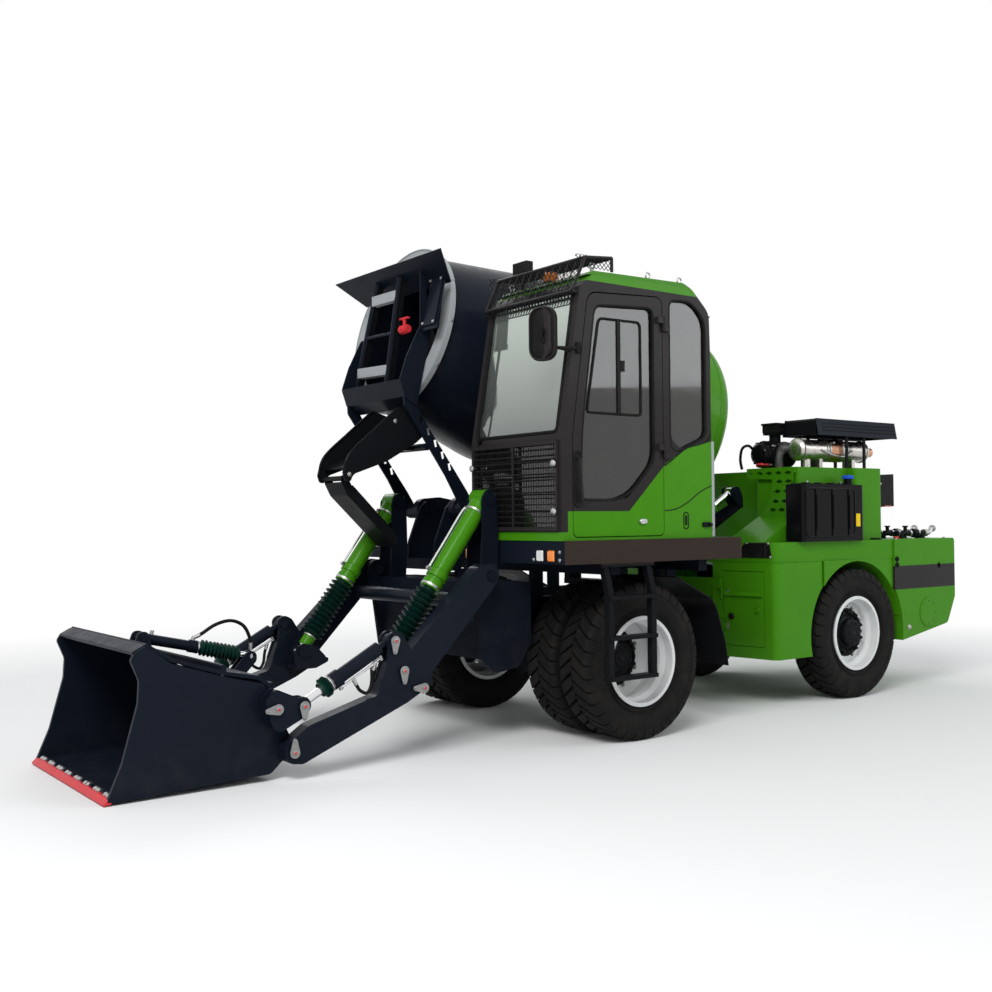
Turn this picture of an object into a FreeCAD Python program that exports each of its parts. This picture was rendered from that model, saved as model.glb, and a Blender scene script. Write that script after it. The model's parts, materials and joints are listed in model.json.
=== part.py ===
import FreeCAD, Part
import math
import os

# Self-loading concrete mixer with an articulated frame.
# Millimetres. X points forward, Y to the machine's left, Z up.
# Positions are written from the middle of the front axle, at ground level.
# The finished pieces are shifted so that the origin lies under the middle of the machine.

V = FreeCAD.Vector

# overall sizes
BUCKET_LIP_X = 3430
REAR_END_X = -4000
WHEELBASE = 2610
HALF_WIDTH = 1310
HINGE_X = -1400
SHIFT_X = -(BUCKET_LIP_X + REAR_END_X) / 2

# wheels, for 22.5 inch rims
TYRE_RADIUS = 527
TYRE_WIDTH = 284
BEAD_RADIUS = 290
FLANGE_RADIUS = 303
DUAL_OUTER_Y = 1031
DUAL_SPACING = 340
REAR_WHEEL_Y = 842
HUB_RADIUS = 108
SPINDLE_RADIUS = 60
BOLT_CIRCLE_RADIUS = 167
WHEEL_NUTS = 10

# clearances
FIT = 0.3
PIN_FIT = 0.5
RUN = 10

# front frame
RAIL_Y = 410
RAIL_LOW_Z = 660
RAIL_HEIGHT = 280
RAIL_WALL = 20
RAIL_FLANGE = 80
RAIL_FRONT_X = 930
RAIL_REAR_X = -1080
HINGE_PIN_RADIUS = 45

# cab
CAB_RIGHT_Y = 315
CAB_LEFT_Y = 1270
CAB_FLOOR_Z = 1345
CAB_WALL = 42
CAB_FRONT_X = 790
CAB_REAR_X = -568
DECK_LOW_Z = 1197
DOOR_FRONT_X = 700
DOOR_REAR_X = -106
DOOR_GAP = 6

# loader
ARM_PIVOT = (980, 1120)
ARM_IN_Y = 690
ARM_OUT_Y = 790
LIFT_ANCHOR = (880, 1620)
LIFT_EYE = (1655, 570)
LIFT_Y = 560
TILT_ANCHOR = (1718, 756)
TILT_EYE = (2325, 425)
TILT_Y = 740
BUCKET_HINGE = (2390, 170)
BUCKET_HALF = 680
BUCKET_PLATE = 25
GATE_ANCHOR = (2990, 800)
GATE_EYE = (2290, 640)
GATE_HINGE = (2425, 505)

# drum
DRUM_MOUTH = (836, 2895)
DRUM_Y = -520
DRUM_PITCH = 13
DRUM_RADIUS = 845
DRUM_MOUTH_RADIUS = 635
DRUM_NECK_RADIUS = 590
DRUM_LENGTH = 3010
DRUM_WALL = 8
SHIFT_Y = (DRUM_RADIUS - DRUM_Y - HALF_WIDTH) / 2
TRACK_PLACE = 1620
TRACK_RADIUS = 830
ROLLER_RADIUS = 60
CRADLE_Y = -480
CRADLE_HINGE = (520, 1560)
CRADLE_HALF = 270
BRACE_HALF = 388
DRUM_LIFT_ANCHOR = (-1130, 1300)
DRUM_LIFT_EYE = (-1850, 1690)
DRUM_LIFT_Y = 300
CHUTE_PIVOT = (985, -315)
CHUTE_HALF = 188
CHUTE_TIP = (1510, 1775)
EXTENSION_HALF = 122

# rear frame
BODY_HALF = 965
DECK_Z = 1285
BODY_FRONT_X = -1600
BODY_LOW_Z = 380
HOOD_TOP_Z = 1885
HOOD_FRONT_X = -2520
POD_FRONT_X = -2060
POD_INNER_Y = 400
HOOD_REAR_X = -3080
HOOD_HALF = 905
TANK_INNER_Y = 830
TANK_OUTER_Y = 1010
STEER_ANCHOR = (-1900, 235)
STEER_EYE = (-1190, 285)
STEER_Z = 790


def block(x1, x2, y1, y2, z1, z2):
    return Part.makeBox(x2 - x1, y2 - y1, z2 - z1, V(x1, y1, z1))


def bar(start, end, radius):
    direction = V(*end) - V(*start)
    return Part.makeCylinder(radius, direction.Length, V(*start), direction)


def tube(start, end, outer, inner):
    return bar(start, end, outer).cut(bar(start, end, inner))


def outline(points, place):
    # closed outline whose corners are rounded by the third value of each point,
    # with each rounding limited by the sides that it joins
    count = len(points)
    turns = []
    reaches = []
    for i in range(count):
        a = V(points[i][0], points[i][1], 0)
        before = V(points[i - 1][0], points[i - 1][1], 0) - a
        after = V(points[(i + 1) % count][0], points[(i + 1) % count][1], 0) - a
        radius = points[i][2] if len(points[i]) > 2 else 0
        half = before.getAngle(after) / 2
        turns.append((a, before.normalize(), after.normalize(), half))
        reaches.append(radius / math.tan(half) if radius > 0 else 0)
    limits = [1.0] * count
    for i in range(count):
        following = (i + 1) % count
        side = (turns[following][0] - turns[i][0]).Length
        wanted = reaches[i] + reaches[following]
        if wanted > side * 0.98:
            limits[i] = min(limits[i], side * 0.98 / wanted)
            limits[following] = min(limits[following], side * 0.98 / wanted)
    corners = []
    for i in range(count):
        a, before, after, half = turns[i]
        reach = reaches[i] * limits[i]
        if reach < 0.01:
            corners.append((a, a, None))
            continue
        radius = reach * math.tan(half)
        depth = radius / math.sin(half) - radius
        corners.append((a + before * reach, a + after * reach, a + (before + after).normalize() * depth))
    edges = []
    for i in range(count):
        start, end, top = corners[i]
        following = corners[(i + 1) % count][0]
        if top is not None:
            edges.append(Part.Arc(place(start), place(top), place(end)).toShape())
        if (following - end).Length > 0.001:
            edges.append(Part.makeLine(place(end), place(following)))
    return Part.Face(Part.Wire(edges))


def side_plate(points, y1, y2):
    face = outline(points, lambda p: V(p[0], y1, p[1]))
    return face.extrude(V(0, y2 - y1, 0))


def flat_plate(points, z1, z2):
    face = outline(points, lambda p: V(p[0], p[1], z1))
    return face.extrude(V(0, 0, z2 - z1))


def cross_plate(points, x1, x2):
    face = outline(points, lambda p: V(x1, p[0], p[1]))
    return face.extrude(V(x2 - x1, 0, 0))


def turned(points, x, z):
    # section of (y, radius) turned about a line along Y through x, z
    face = outline(points, lambda p: V(x, p[0], z + p[1]))
    return face.revolve(V(x, 0, z), V(0, 1, 0), 360)


def join(shapes):
    result = shapes[0]
    if len(shapes) > 1:
        result = shapes[0].multiFuse(shapes[1:])
    return result.removeSplitter()


def mirrored(shape):
    return shape.mirror(V(0, 0, 0), V(0, 1, 0))


def pair(shape):
    return [shape, mirrored(shape)]


def point_at(start, end, distance):
    length = math.hypot(end[0] - start[0], end[1] - start[1])
    part = distance / length
    return (start[0] + (end[0] - start[0]) * part, start[1] + (end[1] - start[1]) * part)


def save(name, solids):
    shape = Part.makeCompound(solids) if len(solids) > 1 else solids[0]
    shape = shape.copy()
    shape.translate(V(SHIFT_X, SHIFT_Y, 0))
    shape.exportStep("parts/" + name + ".step")


def spot(point, y):
    return (point[0], y, point[1])


def eye(point, y, radius, width):
    return bar(spot(point, y - width / 2), spot(point, y + width / 2), radius)


def barrel(anchor, end, y, length, outer, rod, eye_radius, eye_width, neck=0):
    # cylinder barrel with a closed eye end, open bore and gland nut; a neck keeps it clear of narrow ears
    foot = point_at(anchor, end, eye_radius * 0.6)
    shoulder = point_at(anchor, end, max(neck, eye_radius * 0.6))
    head = point_at(anchor, end, length)
    bore_start = point_at(anchor, end, max(neck, eye_radius) + 30)
    gland = point_at(anchor, end, length - 45)
    body = join([
        bar(spot(foot, y), spot(head, y), min(outer, eye_width / 2 - 3)),
        bar(spot(shoulder, y), spot(head, y), outer),
        bar(spot(gland, y), spot(head, y), outer + 7),
        eye(anchor, y, eye_radius, eye_width),
    ])
    return body.cut(bar(spot(bore_start, y), spot(point_at(anchor, end, length + 5), y), rod + PIN_FIT))


def rod(anchor, end, y, start, radius, eye_radius, eye_width):
    # piston rod from a point inside its barrel to its eye
    inner = point_at(anchor, end, start)
    stop = point_at(end, anchor, eye_radius * 0.5)
    return join([bar(spot(inner, y), spot(stop, y), radius), eye(end, y, eye_radius, eye_width)])


def bellows(anchor, end, y, start, stop, inner, outer, folds):
    # pleated rod cover as a turned sleeve
    first = V(*spot(point_at(anchor, end, start), y))
    last = V(*spot(point_at(anchor, end, stop), y))
    length = (last - first).Length
    pitch = length / folds
    points = [V(0, 0, 0) + V(inner, 0, 0)]
    for i in range(folds):
        points.append(V(inner + 8, 0, i * pitch))
        points.append(V(outer, 0, (i + 0.5) * pitch))
    points.append(V(inner + 8, 0, length))
    points.append(V(inner, 0, length))
    points.append(points[0])
    section = Part.Face(Part.makePolygon(points))
    sleeve = section.revolve(V(0, 0, 0), V(0, 0, 1), 360)
    turn = FreeCAD.Rotation(V(0, 0, 1), last - first)
    sleeve.Placement = FreeCAD.Placement(first, turn)
    return sleeve


# ---------------------------------------------------------------- wheels

def tyre(x, y):
    half = TYRE_WIDTH / 2
    section = [
        (-104, BEAD_RADIUS), (-118, 318, 15), (-half, 405, 70), (-half + 2, 470, 40),
        (-half + 18, TYRE_RADIUS, 24), (half - 18, TYRE_RADIUS, 24), (half - 2, 470, 40),
        (half, 405, 70), (118, 318, 15), (104, BEAD_RADIUS),
    ]
    shape = turned([(y + p[0],) + tuple(p[1:]) for p in section], x, TYRE_RADIUS)
    return shape


def rim(x, y, disc_y, side):
    # drop-centre barrel with flanges, a cone and a bolted disc; side +1 has the disc at lower y
    edge = BEAD_RADIUS - FIT
    section = [
        (-131, FLANGE_RADIUS, 4), (-119, FLANGE_RADIUS, 4), (-119, edge), (-60, edge), (-30, edge - 22, 8),
        (30, edge - 22, 8), (60, edge), (119, edge), (119, FLANGE_RADIUS, 4), (131, FLANGE_RADIUS, 4),
        (131, edge - 14), (66, edge - 14), (34, edge - 38, 8), (-34, edge - 38, 8), (-66, edge - 14),
        (-131, edge - 14),
    ]
    shell = turned([(y + p[0],) + tuple(p[1:]) for p in section], x, TYRE_RADIUS)
    root = y - side * 126
    if (disc_y - root) * side > 0:
        root = disc_y - side * 30
    cone = [
        (root, edge - 8), (root + side * 16, edge - 8), (disc_y + side * 14, 214, 10),
        (disc_y + side * 14, HUB_RADIUS), (disc_y, HUB_RADIUS), (disc_y, 220, 10),
    ]
    disc = turned(cone, x, TYRE_RADIUS)
    holes = []
    for i in range(8):
        a = math.radians(22.5 + 45 * i)
        holes.append(bar((x + 205 * math.cos(a), disc_y - 60, TYRE_RADIUS + 205 * math.sin(a)),
                         (x + 205 * math.cos(a), disc_y + 60, TYRE_RADIUS + 205 * math.sin(a)), 19))
    return join([shell, disc.cut(Part.makeCompound(holes))])


def hub(x, y1, seat, y2):
    # planetary hub with its flange against the disc and a stepped cover
    bore = SPINDLE_RADIUS + FIT
    section = [
        (y1, bore), (y1, 150, 8), (seat, 150), (seat, HUB_RADIUS), (y2 - 40, HUB_RADIUS, 6),
        (y2 - 36, 84, 6), (y2, 70, 8), (y2, 0), (y2 - 60, 0), (y2 - 60, bore),
    ]
    return turned(section, x, TYRE_RADIUS)


def wheel_nuts(x, disc_face, side):
    nuts = []
    for i in range(WHEEL_NUTS):
        a = 2 * math.pi * i / WHEEL_NUTS
        px = x + BOLT_CIRCLE_RADIUS * math.cos(a)
        pz = TYRE_RADIUS + BOLT_CIRCLE_RADIUS * math.sin(a)
        nuts.append(bar((px, disc_face, pz), (px, disc_face + side * 24, pz), 15))
    return nuts


inner_y = DUAL_OUTER_Y - DUAL_SPACING
disc_y = DUAL_OUTER_Y - DUAL_SPACING / 2
front_tyres = [tyre(0, DUAL_OUTER_Y), tyre(0, inner_y)]
outer_rim = rim(0, DUAL_OUTER_Y, disc_y, 1)
inner_rim = rim(0, inner_y, disc_y, -1)
front_hub = hub(0, disc_y - 105, disc_y - 14, disc_y + 70)
front_rims = [join([outer_rim, inner_rim, front_hub] + wheel_nuts(0, disc_y + 13, 1))]
rear_disc_y = REAR_WHEEL_Y + 5
rear_tyres = [tyre(-WHEELBASE, REAR_WHEEL_Y)]
rear_rim = rim(-WHEELBASE, REAR_WHEEL_Y, rear_disc_y, 1)
rear_hub = hub(-WHEELBASE, rear_disc_y - 90, rear_disc_y, rear_disc_y + 70)
rear_rims = [join([rear_rim, rear_hub] + wheel_nuts(-WHEELBASE, rear_disc_y + 13, 1))]

# ---------------------------------------------------------------- axles

def axle(x, half, pad_top, pad_y):
    housing = turned([
        (-half, 0), (-half, SPINDLE_RADIUS), (-half + 95, SPINDLE_RADIUS), (-half + 95, 118, 6),
        (-half + 130, 118, 6),
        (-half + 150, 92), (-230, 92), (-120, 190, 60), (120, 190, 60), (230, 92), (half - 150, 92),
        (half - 130, 118, 6), (half - 95, 118, 6), (half - 95, SPINDLE_RADIUS), (half, SPINDLE_RADIUS),
        (half, 0),
    ], x, TYRE_RADIUS)
    pieces = [housing]
    for side in (1, -1):
        pieces.append(block(x - 90, x + 90, side * pad_y - 45, side * pad_y + 45, TYRE_RADIUS, pad_top))
    return pieces


front_axle = axle(0, disc_y - 15, RAIL_LOW_Z, RAIL_Y)
front_axle.append(bar((0, 0, TYRE_RADIUS), (-330, 0, TYRE_RADIUS + 20), 95))
front_axle.append(bar((-330, 0, TYRE_RADIUS + 20), (-370, 0, TYRE_RADIUS + 22), 60))
front_axle = join(front_axle)
rear_axle = axle(-WHEELBASE, rear_disc_y - 10, RAIL_LOW_Z, RAIL_Y)
rear_axle.append(bar((-WHEELBASE, 0, TYRE_RADIUS), (-WHEELBASE + 330, 0, TYRE_RADIUS + 20), 95))
rear_axle.append(bar((-WHEELBASE + 330, 0, TYRE_RADIUS + 20), (-WHEELBASE + 370, 0, TYRE_RADIUS + 22), 60))
rear_axle = join(rear_axle)

# ---------------------------------------------------------------- front chassis

def rail(x1, x2, y, side):
    # channel section opening outwards
    z1 = RAIL_LOW_Z
    z2 = RAIL_LOW_Z + RAIL_HEIGHT
    wall = RAIL_WALL
    points = [
        (y, z1), (y + side * RAIL_FLANGE, z1), (y + side * RAIL_FLANGE, z1 + wall),
        (y + side * wall, z1 + wall, 12),
        (y + side * wall, z2 - wall, 12), (y + side * RAIL_FLANGE, z2 - wall), (y + side * RAIL_FLANGE, z2),
        (y, z2),
    ]
    return cross_plate(points, x1, x2)


rail_top = RAIL_LOW_Z + RAIL_HEIGHT
front_pieces = []
for side in (1, -1):
    front_pieces.append(rail(RAIL_REAR_X, RAIL_FRONT_X, side * (RAIL_Y - 20), side))
# nose: arm pivot plates tied by a front plate and a torsion box
pivot_plate_points = [
    (560, 1060, 20), (880, 1085), (935, 1195, 70), (1040, 1195, 70), (1062, 1060, 60), (1010, 900),
    (960, 560, 60),
    (860, 470, 60), (660, 500, 60), (560, 660, 20),
]
for side in (1, -1):
    y1 = side * 640
    y2 = side * 665
    front_pieces.append(side_plate(pivot_plate_points, min(y1, y2), max(y1, y2)))
    front_pieces.append(bar((ARM_PIVOT[0], side * 625, ARM_PIVOT[1]),
                            (ARM_PIVOT[0], side * 680, ARM_PIVOT[1]), 72))
    front_pieces.append(bar((ARM_PIVOT[0], side * 600, ARM_PIVOT[1]),
                            (ARM_PIVOT[0], side * 800, ARM_PIVOT[1]), 35))
nose_plate = cross_plate([(-640, 560, 30), (640, 560, 30), (640, 1000), (-640, 1000)], 905, 935)
nose_hole = cross_plate([(-300, 640, 60), (300, 640, 60), (300, 880, 60), (-300, 880, 60)], 900, 940)
front_pieces.append(nose_plate.cut(nose_hole))
torsion_box = block(640, 960, -640, 640, 985, 1070).cut(block(660, 905, -620, 620, 1003, 1052))
front_pieces.append(torsion_box)
# lift cylinder towers
TOWER_GAP = 72
TOWER_PLATE = 14
tower_points = [
    (830, 1065), (965, 1065), (945, 1400), (945, LIFT_ANCHOR[1], 50), (905, LIFT_ANCHOR[1] + 62, 45),
    (862, LIFT_ANCHOR[1] + 62, 30), (824, LIFT_ANCHOR[1], 50), (816, 1300, 100),
]
for side in (1, -1):
    for near in (LIFT_Y - TOWER_GAP - TOWER_PLATE, LIFT_Y + TOWER_GAP):
        ys = sorted((side * near, side * (near + TOWER_PLATE)))
        front_pieces.append(side_plate(tower_points, ys[0], ys[1]))
    ys = sorted((side * (LIFT_Y - TOWER_GAP - 2), side * (LIFT_Y + TOWER_GAP + 2)))
    front_pieces.append(side_plate([(830, 1065), (844, 1065), (832, 1300, 100), (832, 1440), (818, 1440),
                                    (818, 1300, 100)],
                                   ys[0], ys[1]))
    pin_in = side * (LIFT_Y - TOWER_GAP - TOWER_PLATE - 12)
    pin_out = side * (LIFT_Y + TOWER_GAP + TOWER_PLATE + 8)
    front_pieces.append(bar(spot(LIFT_ANCHOR, pin_in), spot(LIFT_ANCHOR, pin_out), 27))
    front_pieces.append(bar(spot(LIFT_ANCHOR, pin_in), spot(LIFT_ANCHOR, side * (LIFT_Y - TOWER_GAP - 2)),
                            44))
    front_pieces.append(bar(spot(LIFT_ANCHOR, pin_out), spot(LIFT_ANCHOR, side * (LIFT_Y + TOWER_GAP + 2)),
                            44))
# cross members and cab beams
for x in (-620, 330):
    front_pieces.append(block(x, x + 90, -430, 430, 740, 900))
for x in (-560, 260):
    for side in (1, -1):
        y = side * 430
        front_pieces.append(block(x, x + 80, min(y, y - side * 60), max(y, y - side * 60), rail_top - 2,
                                  1120))
    front_pieces.append(block(x, x + 80, -1240, 1222, 1117, DECK_LOW_Z))
front_pieces.append(block(620, 700, -820, -60, 1117, DECK_LOW_Z))
for y in (-400, -120):
    front_pieces.append(block(560, 640, y, y + 60, 1060, 1130))
# hinge end: rear plate, two pairs of ears and the vertical pin
front_pieces.append(block(RAIL_REAR_X, RAIL_REAR_X + 30, -470, 470, RAIL_LOW_Z - 40, rail_top + 20))
ear_points = [(RAIL_REAR_X + 5, -210), (HINGE_X, -95, 60), (HINGE_X - 90, 0, 80), (HINGE_X, 95, 60),
              (RAIL_REAR_X + 5, 210)]
for z in (RAIL_LOW_Z - 40, rail_top - 20):
    front_pieces.append(flat_plate(ear_points, z, z + 40))
front_pieces.append(bar((HINGE_X, 0, RAIL_LOW_Z - 60), (HINGE_X, 0, rail_top + 40), HINGE_PIN_RADIUS))
front_pieces.append(bar((HINGE_X, 0, rail_top + 20), (HINGE_X, 0, rail_top + 42), 70))
# ears for the steering cylinder's eye
STEER_GAP = 31
steer_ear = [(RAIL_REAR_X + 5, STEER_EYE[1] - 60), (RAIL_REAR_X + 5, STEER_EYE[1] + 80),
             (STEER_EYE[0] - 42, STEER_EYE[1] + 42, 40), (STEER_EYE[0] - 42, STEER_EYE[1] - 42, 40)]
for z in (STEER_Z - STEER_GAP - 18, STEER_Z + STEER_GAP):
    front_pieces.append(flat_plate(steer_ear, z, z + 18))
for z1, z2 in ((STEER_Z - STEER_GAP - 30, STEER_Z - STEER_GAP - 16),
               (STEER_Z + STEER_GAP + 16, STEER_Z + STEER_GAP + 30)):
    front_pieces.append(bar((STEER_EYE[0], STEER_EYE[1], z1), (STEER_EYE[0], STEER_EYE[1], z2), 24))
# drum pedestals: hinge brackets in front, rest pads behind, foot of the drum cylinder
PEDESTAL_HALF = CRADLE_HALF - 105
pedestal_points = [
    (250, DECK_LOW_Z - 5), (700, DECK_LOW_Z - 5), (690, 1320, 40), (590, CRADLE_HINGE[1] + 10, 60),
    (540, CRADLE_HINGE[1] + 68, 50), (500, CRADLE_HINGE[1] + 68, 50), (440, CRADLE_HINGE[1], 60),
    (340, 1320, 60),
]
for side in (1, -1):
    near = CRADLE_Y + side * PEDESTAL_HALF
    ys = sorted((near, near + side * 25))
    front_pieces.append(side_plate(pedestal_points, ys[0], ys[1]))
    front_pieces.append(bar(spot(CRADLE_HINGE, near - side * 12), spot(CRADLE_HINGE, near + side * 130), 34))
for side in (1, -1):
    near = CRADLE_Y + side * (CRADLE_HALF - 30)
    front_pieces.append(block(-1070, -940, near - 35, near + 35, rail_top - 5, 1330 - FIT))
front_pieces.append(block(-1070, -940, -760, 430, rail_top - 5, rail_top + 40))
# foot of the drum cylinder
foot_points = [(RAIL_REAR_X, rail_top), (-1000, rail_top), (-1060, 1200, 60),
               (DRUM_LIFT_ANCHOR[0] + 50, DRUM_LIFT_ANCHOR[1] + 52, 45),
               (DRUM_LIFT_ANCHOR[0] - 50, DRUM_LIFT_ANCHOR[1] + 52, 45), (-1190, 1200, 60)]
for near in (DRUM_LIFT_Y - 74, DRUM_LIFT_Y + 56):
    front_pieces.append(side_plate(foot_points, near, near + 18))
front_pieces.append(bar(spot(DRUM_LIFT_ANCHOR, DRUM_LIFT_Y - 82), spot(DRUM_LIFT_ANCHOR, DRUM_LIFT_Y + 82),
                        24))
front_chassis = join(front_pieces)

# ---------------------------------------------------------------- platform, steps and mudguards

def band(x1, x2, y1, y2, z1, z2, wall):
    outer = flat_plate([(x1, y1, 30), (x2, y1, 30), (x2, y2, 30), (x1, y2, 30)], z1, z2)
    inner = flat_plate([(x1 + wall, y1 + wall, 25), (x2 - wall, y1 + wall, 25), (x2 - wall, y2 - wall, 25),
                        (x1 + wall, y2 - wall, 25)], z1 - 5, z2 - wall)
    return outer.cut(inner)


platform = band(-840, CAB_FRONT_X - 5, 215, HALF_WIDTH, DECK_LOW_Z + FIT, CAB_FLOOR_Z - FIT, 12)
right_deck = band(-840, CAB_FRONT_X - 5, -HALF_WIDTH, -840, DECK_LOW_Z + FIT, CAB_FLOOR_Z - 65, 12)
ladder = []
for x in (20, 398):
    ladder.append(side_plate([(x - 20, 440), (x + 24, 440), (x + 24, 1000), (x + 74, DECK_LOW_Z),
                              (x + 30, DECK_LOW_Z),
                              (x - 20, 1000)], 1248, 1292))
for z in (440, 700, 960):
    ladder.append(block(0, 422, 1230, HALF_WIDTH - 4, z, z + 26))
ladder.append(block(30, 492, 1230, HALF_WIDTH - 4, DECK_LOW_Z - 24, DECK_LOW_Z))
steps = join(ladder)


def mudguard(y1, y2):
    # plate that follows the back of the wheel, on a bracket under the rear beam
    plate = side_plate([
        (-300, 1084), (-381, 1042, 200), (-674, 905, 200), (-781, 602, 200), (-809, 435), (-801, 435),
        (-773, 602, 192), (-666, 897, 192), (-378, 1033, 192), (-300, 1076),
    ], y1, y2)
    bracket = block(-540, -500, y1 + 40, y1 + 90, 965, 1117 - FIT)
    web = side_plate([(-540, 1110), (-500, 1110), (-440, 1012), (-600, 935)], y1 + 60, y1 + 70)
    return join([plate, bracket.common(side_plate([(-560, 1120), (-480, 1120), (-480, 984), (-560, 948)],
                                                  y1, y2)), web])


mudguards = [mudguard(560, 1190), mudguard(-1190, -560)]

# ---------------------------------------------------------------- cab

cab_side = [
    (CAB_FRONT_X, CAB_FLOOR_Z), (CAB_FRONT_X, 1990, 200), (625, 2950, 60), (520, 3042, 80),
    (-380, 3060, 100),
    (-560, 2900, 120), (CAB_REAR_X, 2600, 40), (CAB_REAR_X, CAB_FLOOR_Z),
]
inner_side = [
    (CAB_FRONT_X - CAB_WALL, CAB_FLOOR_Z + CAB_WALL), (CAB_FRONT_X - CAB_WALL, 1985, 200),
    (590, 2925, 50), (500, 2995, 60), (-365, 3012, 80), (-518, 2880, 100), (CAB_REAR_X + CAB_WALL, 2600, 40),
    (CAB_REAR_X + CAB_WALL, CAB_FLOOR_Z + CAB_WALL),
]
cab_hull = side_plate(cab_side, CAB_RIGHT_Y, CAB_LEFT_Y)
cab_room = side_plate(inner_side, CAB_RIGHT_Y + CAB_WALL, CAB_LEFT_Y - CAB_WALL)
cab_box = cab_hull.cut(cab_room)
door_opening_points = [
    (DOOR_REAR_X, CAB_FLOOR_Z + 18, 40), (DOOR_FRONT_X, CAB_FLOOR_Z + 18, 40), (DOOR_FRONT_X, 2000, 200),
    (560, 2930, 90), (DOOR_REAR_X, 2965, 60),
]
door_points = [
    (DOOR_REAR_X + DOOR_GAP, CAB_FLOOR_Z + 24, 36), (DOOR_FRONT_X - DOOR_GAP, CAB_FLOOR_Z + 24, 36),
    (DOOR_FRONT_X - DOOR_GAP, 1999, 200), (555, 2922, 86), (DOOR_REAR_X + DOOR_GAP, 2958, 56),
]
door_opening = side_plate(door_opening_points, CAB_LEFT_Y - 100, CAB_LEFT_Y + 10)
quarter_points = [(-520, 2040, 60), (-170, 1900, 120), (-170, 2950, 60), (-380, 2965, 80), (-520, 2850, 90)]
quarter_opening = side_plate(quarter_points, CAB_LEFT_Y - 100, CAB_LEFT_Y + 10)
right_points = [(-500, 2080, 80), (520, 2080, 80), (600, 2300, 100), (500, 2930, 80), (-380, 2940, 80),
                (-500, 2800, 80)]
right_opening = side_plate(right_points, CAB_RIGHT_Y - 10, CAB_RIGHT_Y + 100)
screen_opening = cross_plate([(CAB_RIGHT_Y + 55, 2030, 40), (CAB_LEFT_Y - 55, 2030, 40),
                              (CAB_LEFT_Y - 65, 2930, 60),
                              (CAB_RIGHT_Y + 65, 2930, 60)], 560, 900)
screen_opening = screen_opening.common(side_plate([(560, 2000), (900, 2000), (760, 2960), (615, 2945),
                                                   (560, 2900)],
                                                  CAB_RIGHT_Y, CAB_LEFT_Y))
lower_opening = cross_plate([(CAB_RIGHT_Y + 55, 1425, 30), (CAB_LEFT_Y - 55, 1425, 30),
                             (CAB_LEFT_Y - 55, 1960, 30),
                             (CAB_RIGHT_Y + 55, 1960, 30)], 700, 830)
rear_opening = cross_plate([(CAB_RIGHT_Y + 70, 2080, 60), (CAB_LEFT_Y - 70, 2080, 60),
                            (CAB_LEFT_Y - 70, 2780, 60),
                            (CAB_RIGHT_Y + 70, 2780, 60)], -640, -500)
openings = Part.makeCompound([door_opening, quarter_opening, right_opening, screen_opening, lower_opening,
                              rear_opening])
cab_walls = cab_box.cut(openings)
roof_zone = block(-700, 700, CAB_RIGHT_Y - 5, CAB_LEFT_Y + 5, 3000, 3100)
green_zone = side_plate([
    (CAB_FRONT_X + 5, CAB_FLOOR_Z - 5), (CAB_FRONT_X + 5, CAB_FLOOR_Z + 55),
    (DOOR_FRONT_X + 40, CAB_FLOOR_Z + 55),
    (DOOR_FRONT_X + 40, 1530), (-60, 1530), (-90, 1830, 100), (-330, 1965, 300), (CAB_REAR_X - 5, 2010),
    (CAB_REAR_X - 5, CAB_FLOOR_Z - 5),
], CAB_RIGHT_Y - 5, CAB_LEFT_Y + 5)
cab_roof = cab_walls.common(roof_zone)
cab_green = cab_walls.common(green_zone)
cab_frame = cab_walls.cut(roof_zone).cut(green_zone)
roof_crown = side_plate([(540, 3043), (500, 3072, 60), (-330, 3088, 100), (-400, 3060)], CAB_RIGHT_Y + 20,
                        CAB_LEFT_Y - 20)
cab_shell = [cab_green, join([cab_roof, roof_crown])]

# guard over the windscreen and roof front, carried by the frame
guard = []
guard_y = (CAB_RIGHT_Y + 20, CAB_LEFT_Y - 20)
for y in guard_y:
    guard.append(bar((672, y, 2925), (560, y, 3150), 11))
    guard.append(bar((560, y, 3150), (330, y, 3172), 11))
    guard.append(bar((330, y, 3172), (330, y, 3082), 11))
    guard.append(bar((672, y, 2925), (625, y, 2915), 11))
for x, z in ((672, 2925), (560, 3150), (330, 3172)):
    guard.append(bar((x, guard_y[0], z), (x, guard_y[1], z), 11))
for i in range(1, 12):
    y = guard_y[0] + (guard_y[1] - guard_y[0]) * i / 12
    guard.append(bar((672, y, 2925), (560, y, 3150), 4))
    guard.append(bar((560, y, 3150), (330, y, 3172), 4))
cab_guard = join(guard)
# grille in front of the lower screen
grille = []
for z in (1420, 1965):
    grille.append(block(CAB_FRONT_X, CAB_FRONT_X + 16, CAB_RIGHT_Y + 25, CAB_LEFT_Y - 25, z - 12, z + 12))
for y in (CAB_RIGHT_Y + 25, (CAB_RIGHT_Y + CAB_LEFT_Y) / 2 - 9, CAB_LEFT_Y - 43):
    grille.append(block(CAB_FRONT_X, CAB_FRONT_X + 16, y, y + 18, 1410, 1975))
for i in range(1, 14):
    z = 1420 + 545 * i / 14
    grille.append(bar((CAB_FRONT_X + 9, CAB_RIGHT_Y + 30, z), (CAB_FRONT_X + 9, CAB_LEFT_Y - 30, z), 4))
front_grille = join(grille)
# mirror on a bent arm at the front left post
mirror = [
    bar((676, CAB_LEFT_Y - 20, 2540), (880, CAB_LEFT_Y - 24, 2560), 9),
    bar((880, CAB_LEFT_Y - 24, 2551), (880, CAB_LEFT_Y - 24, 2640), 9),
    cross_plate([(CAB_LEFT_Y - 92, 2470, 62), (CAB_LEFT_Y + 34, 2470, 62), (CAB_LEFT_Y + 34, 2790, 62),
                 (CAB_LEFT_Y - 92, 2790, 62)], 884, 912),
]
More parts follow.
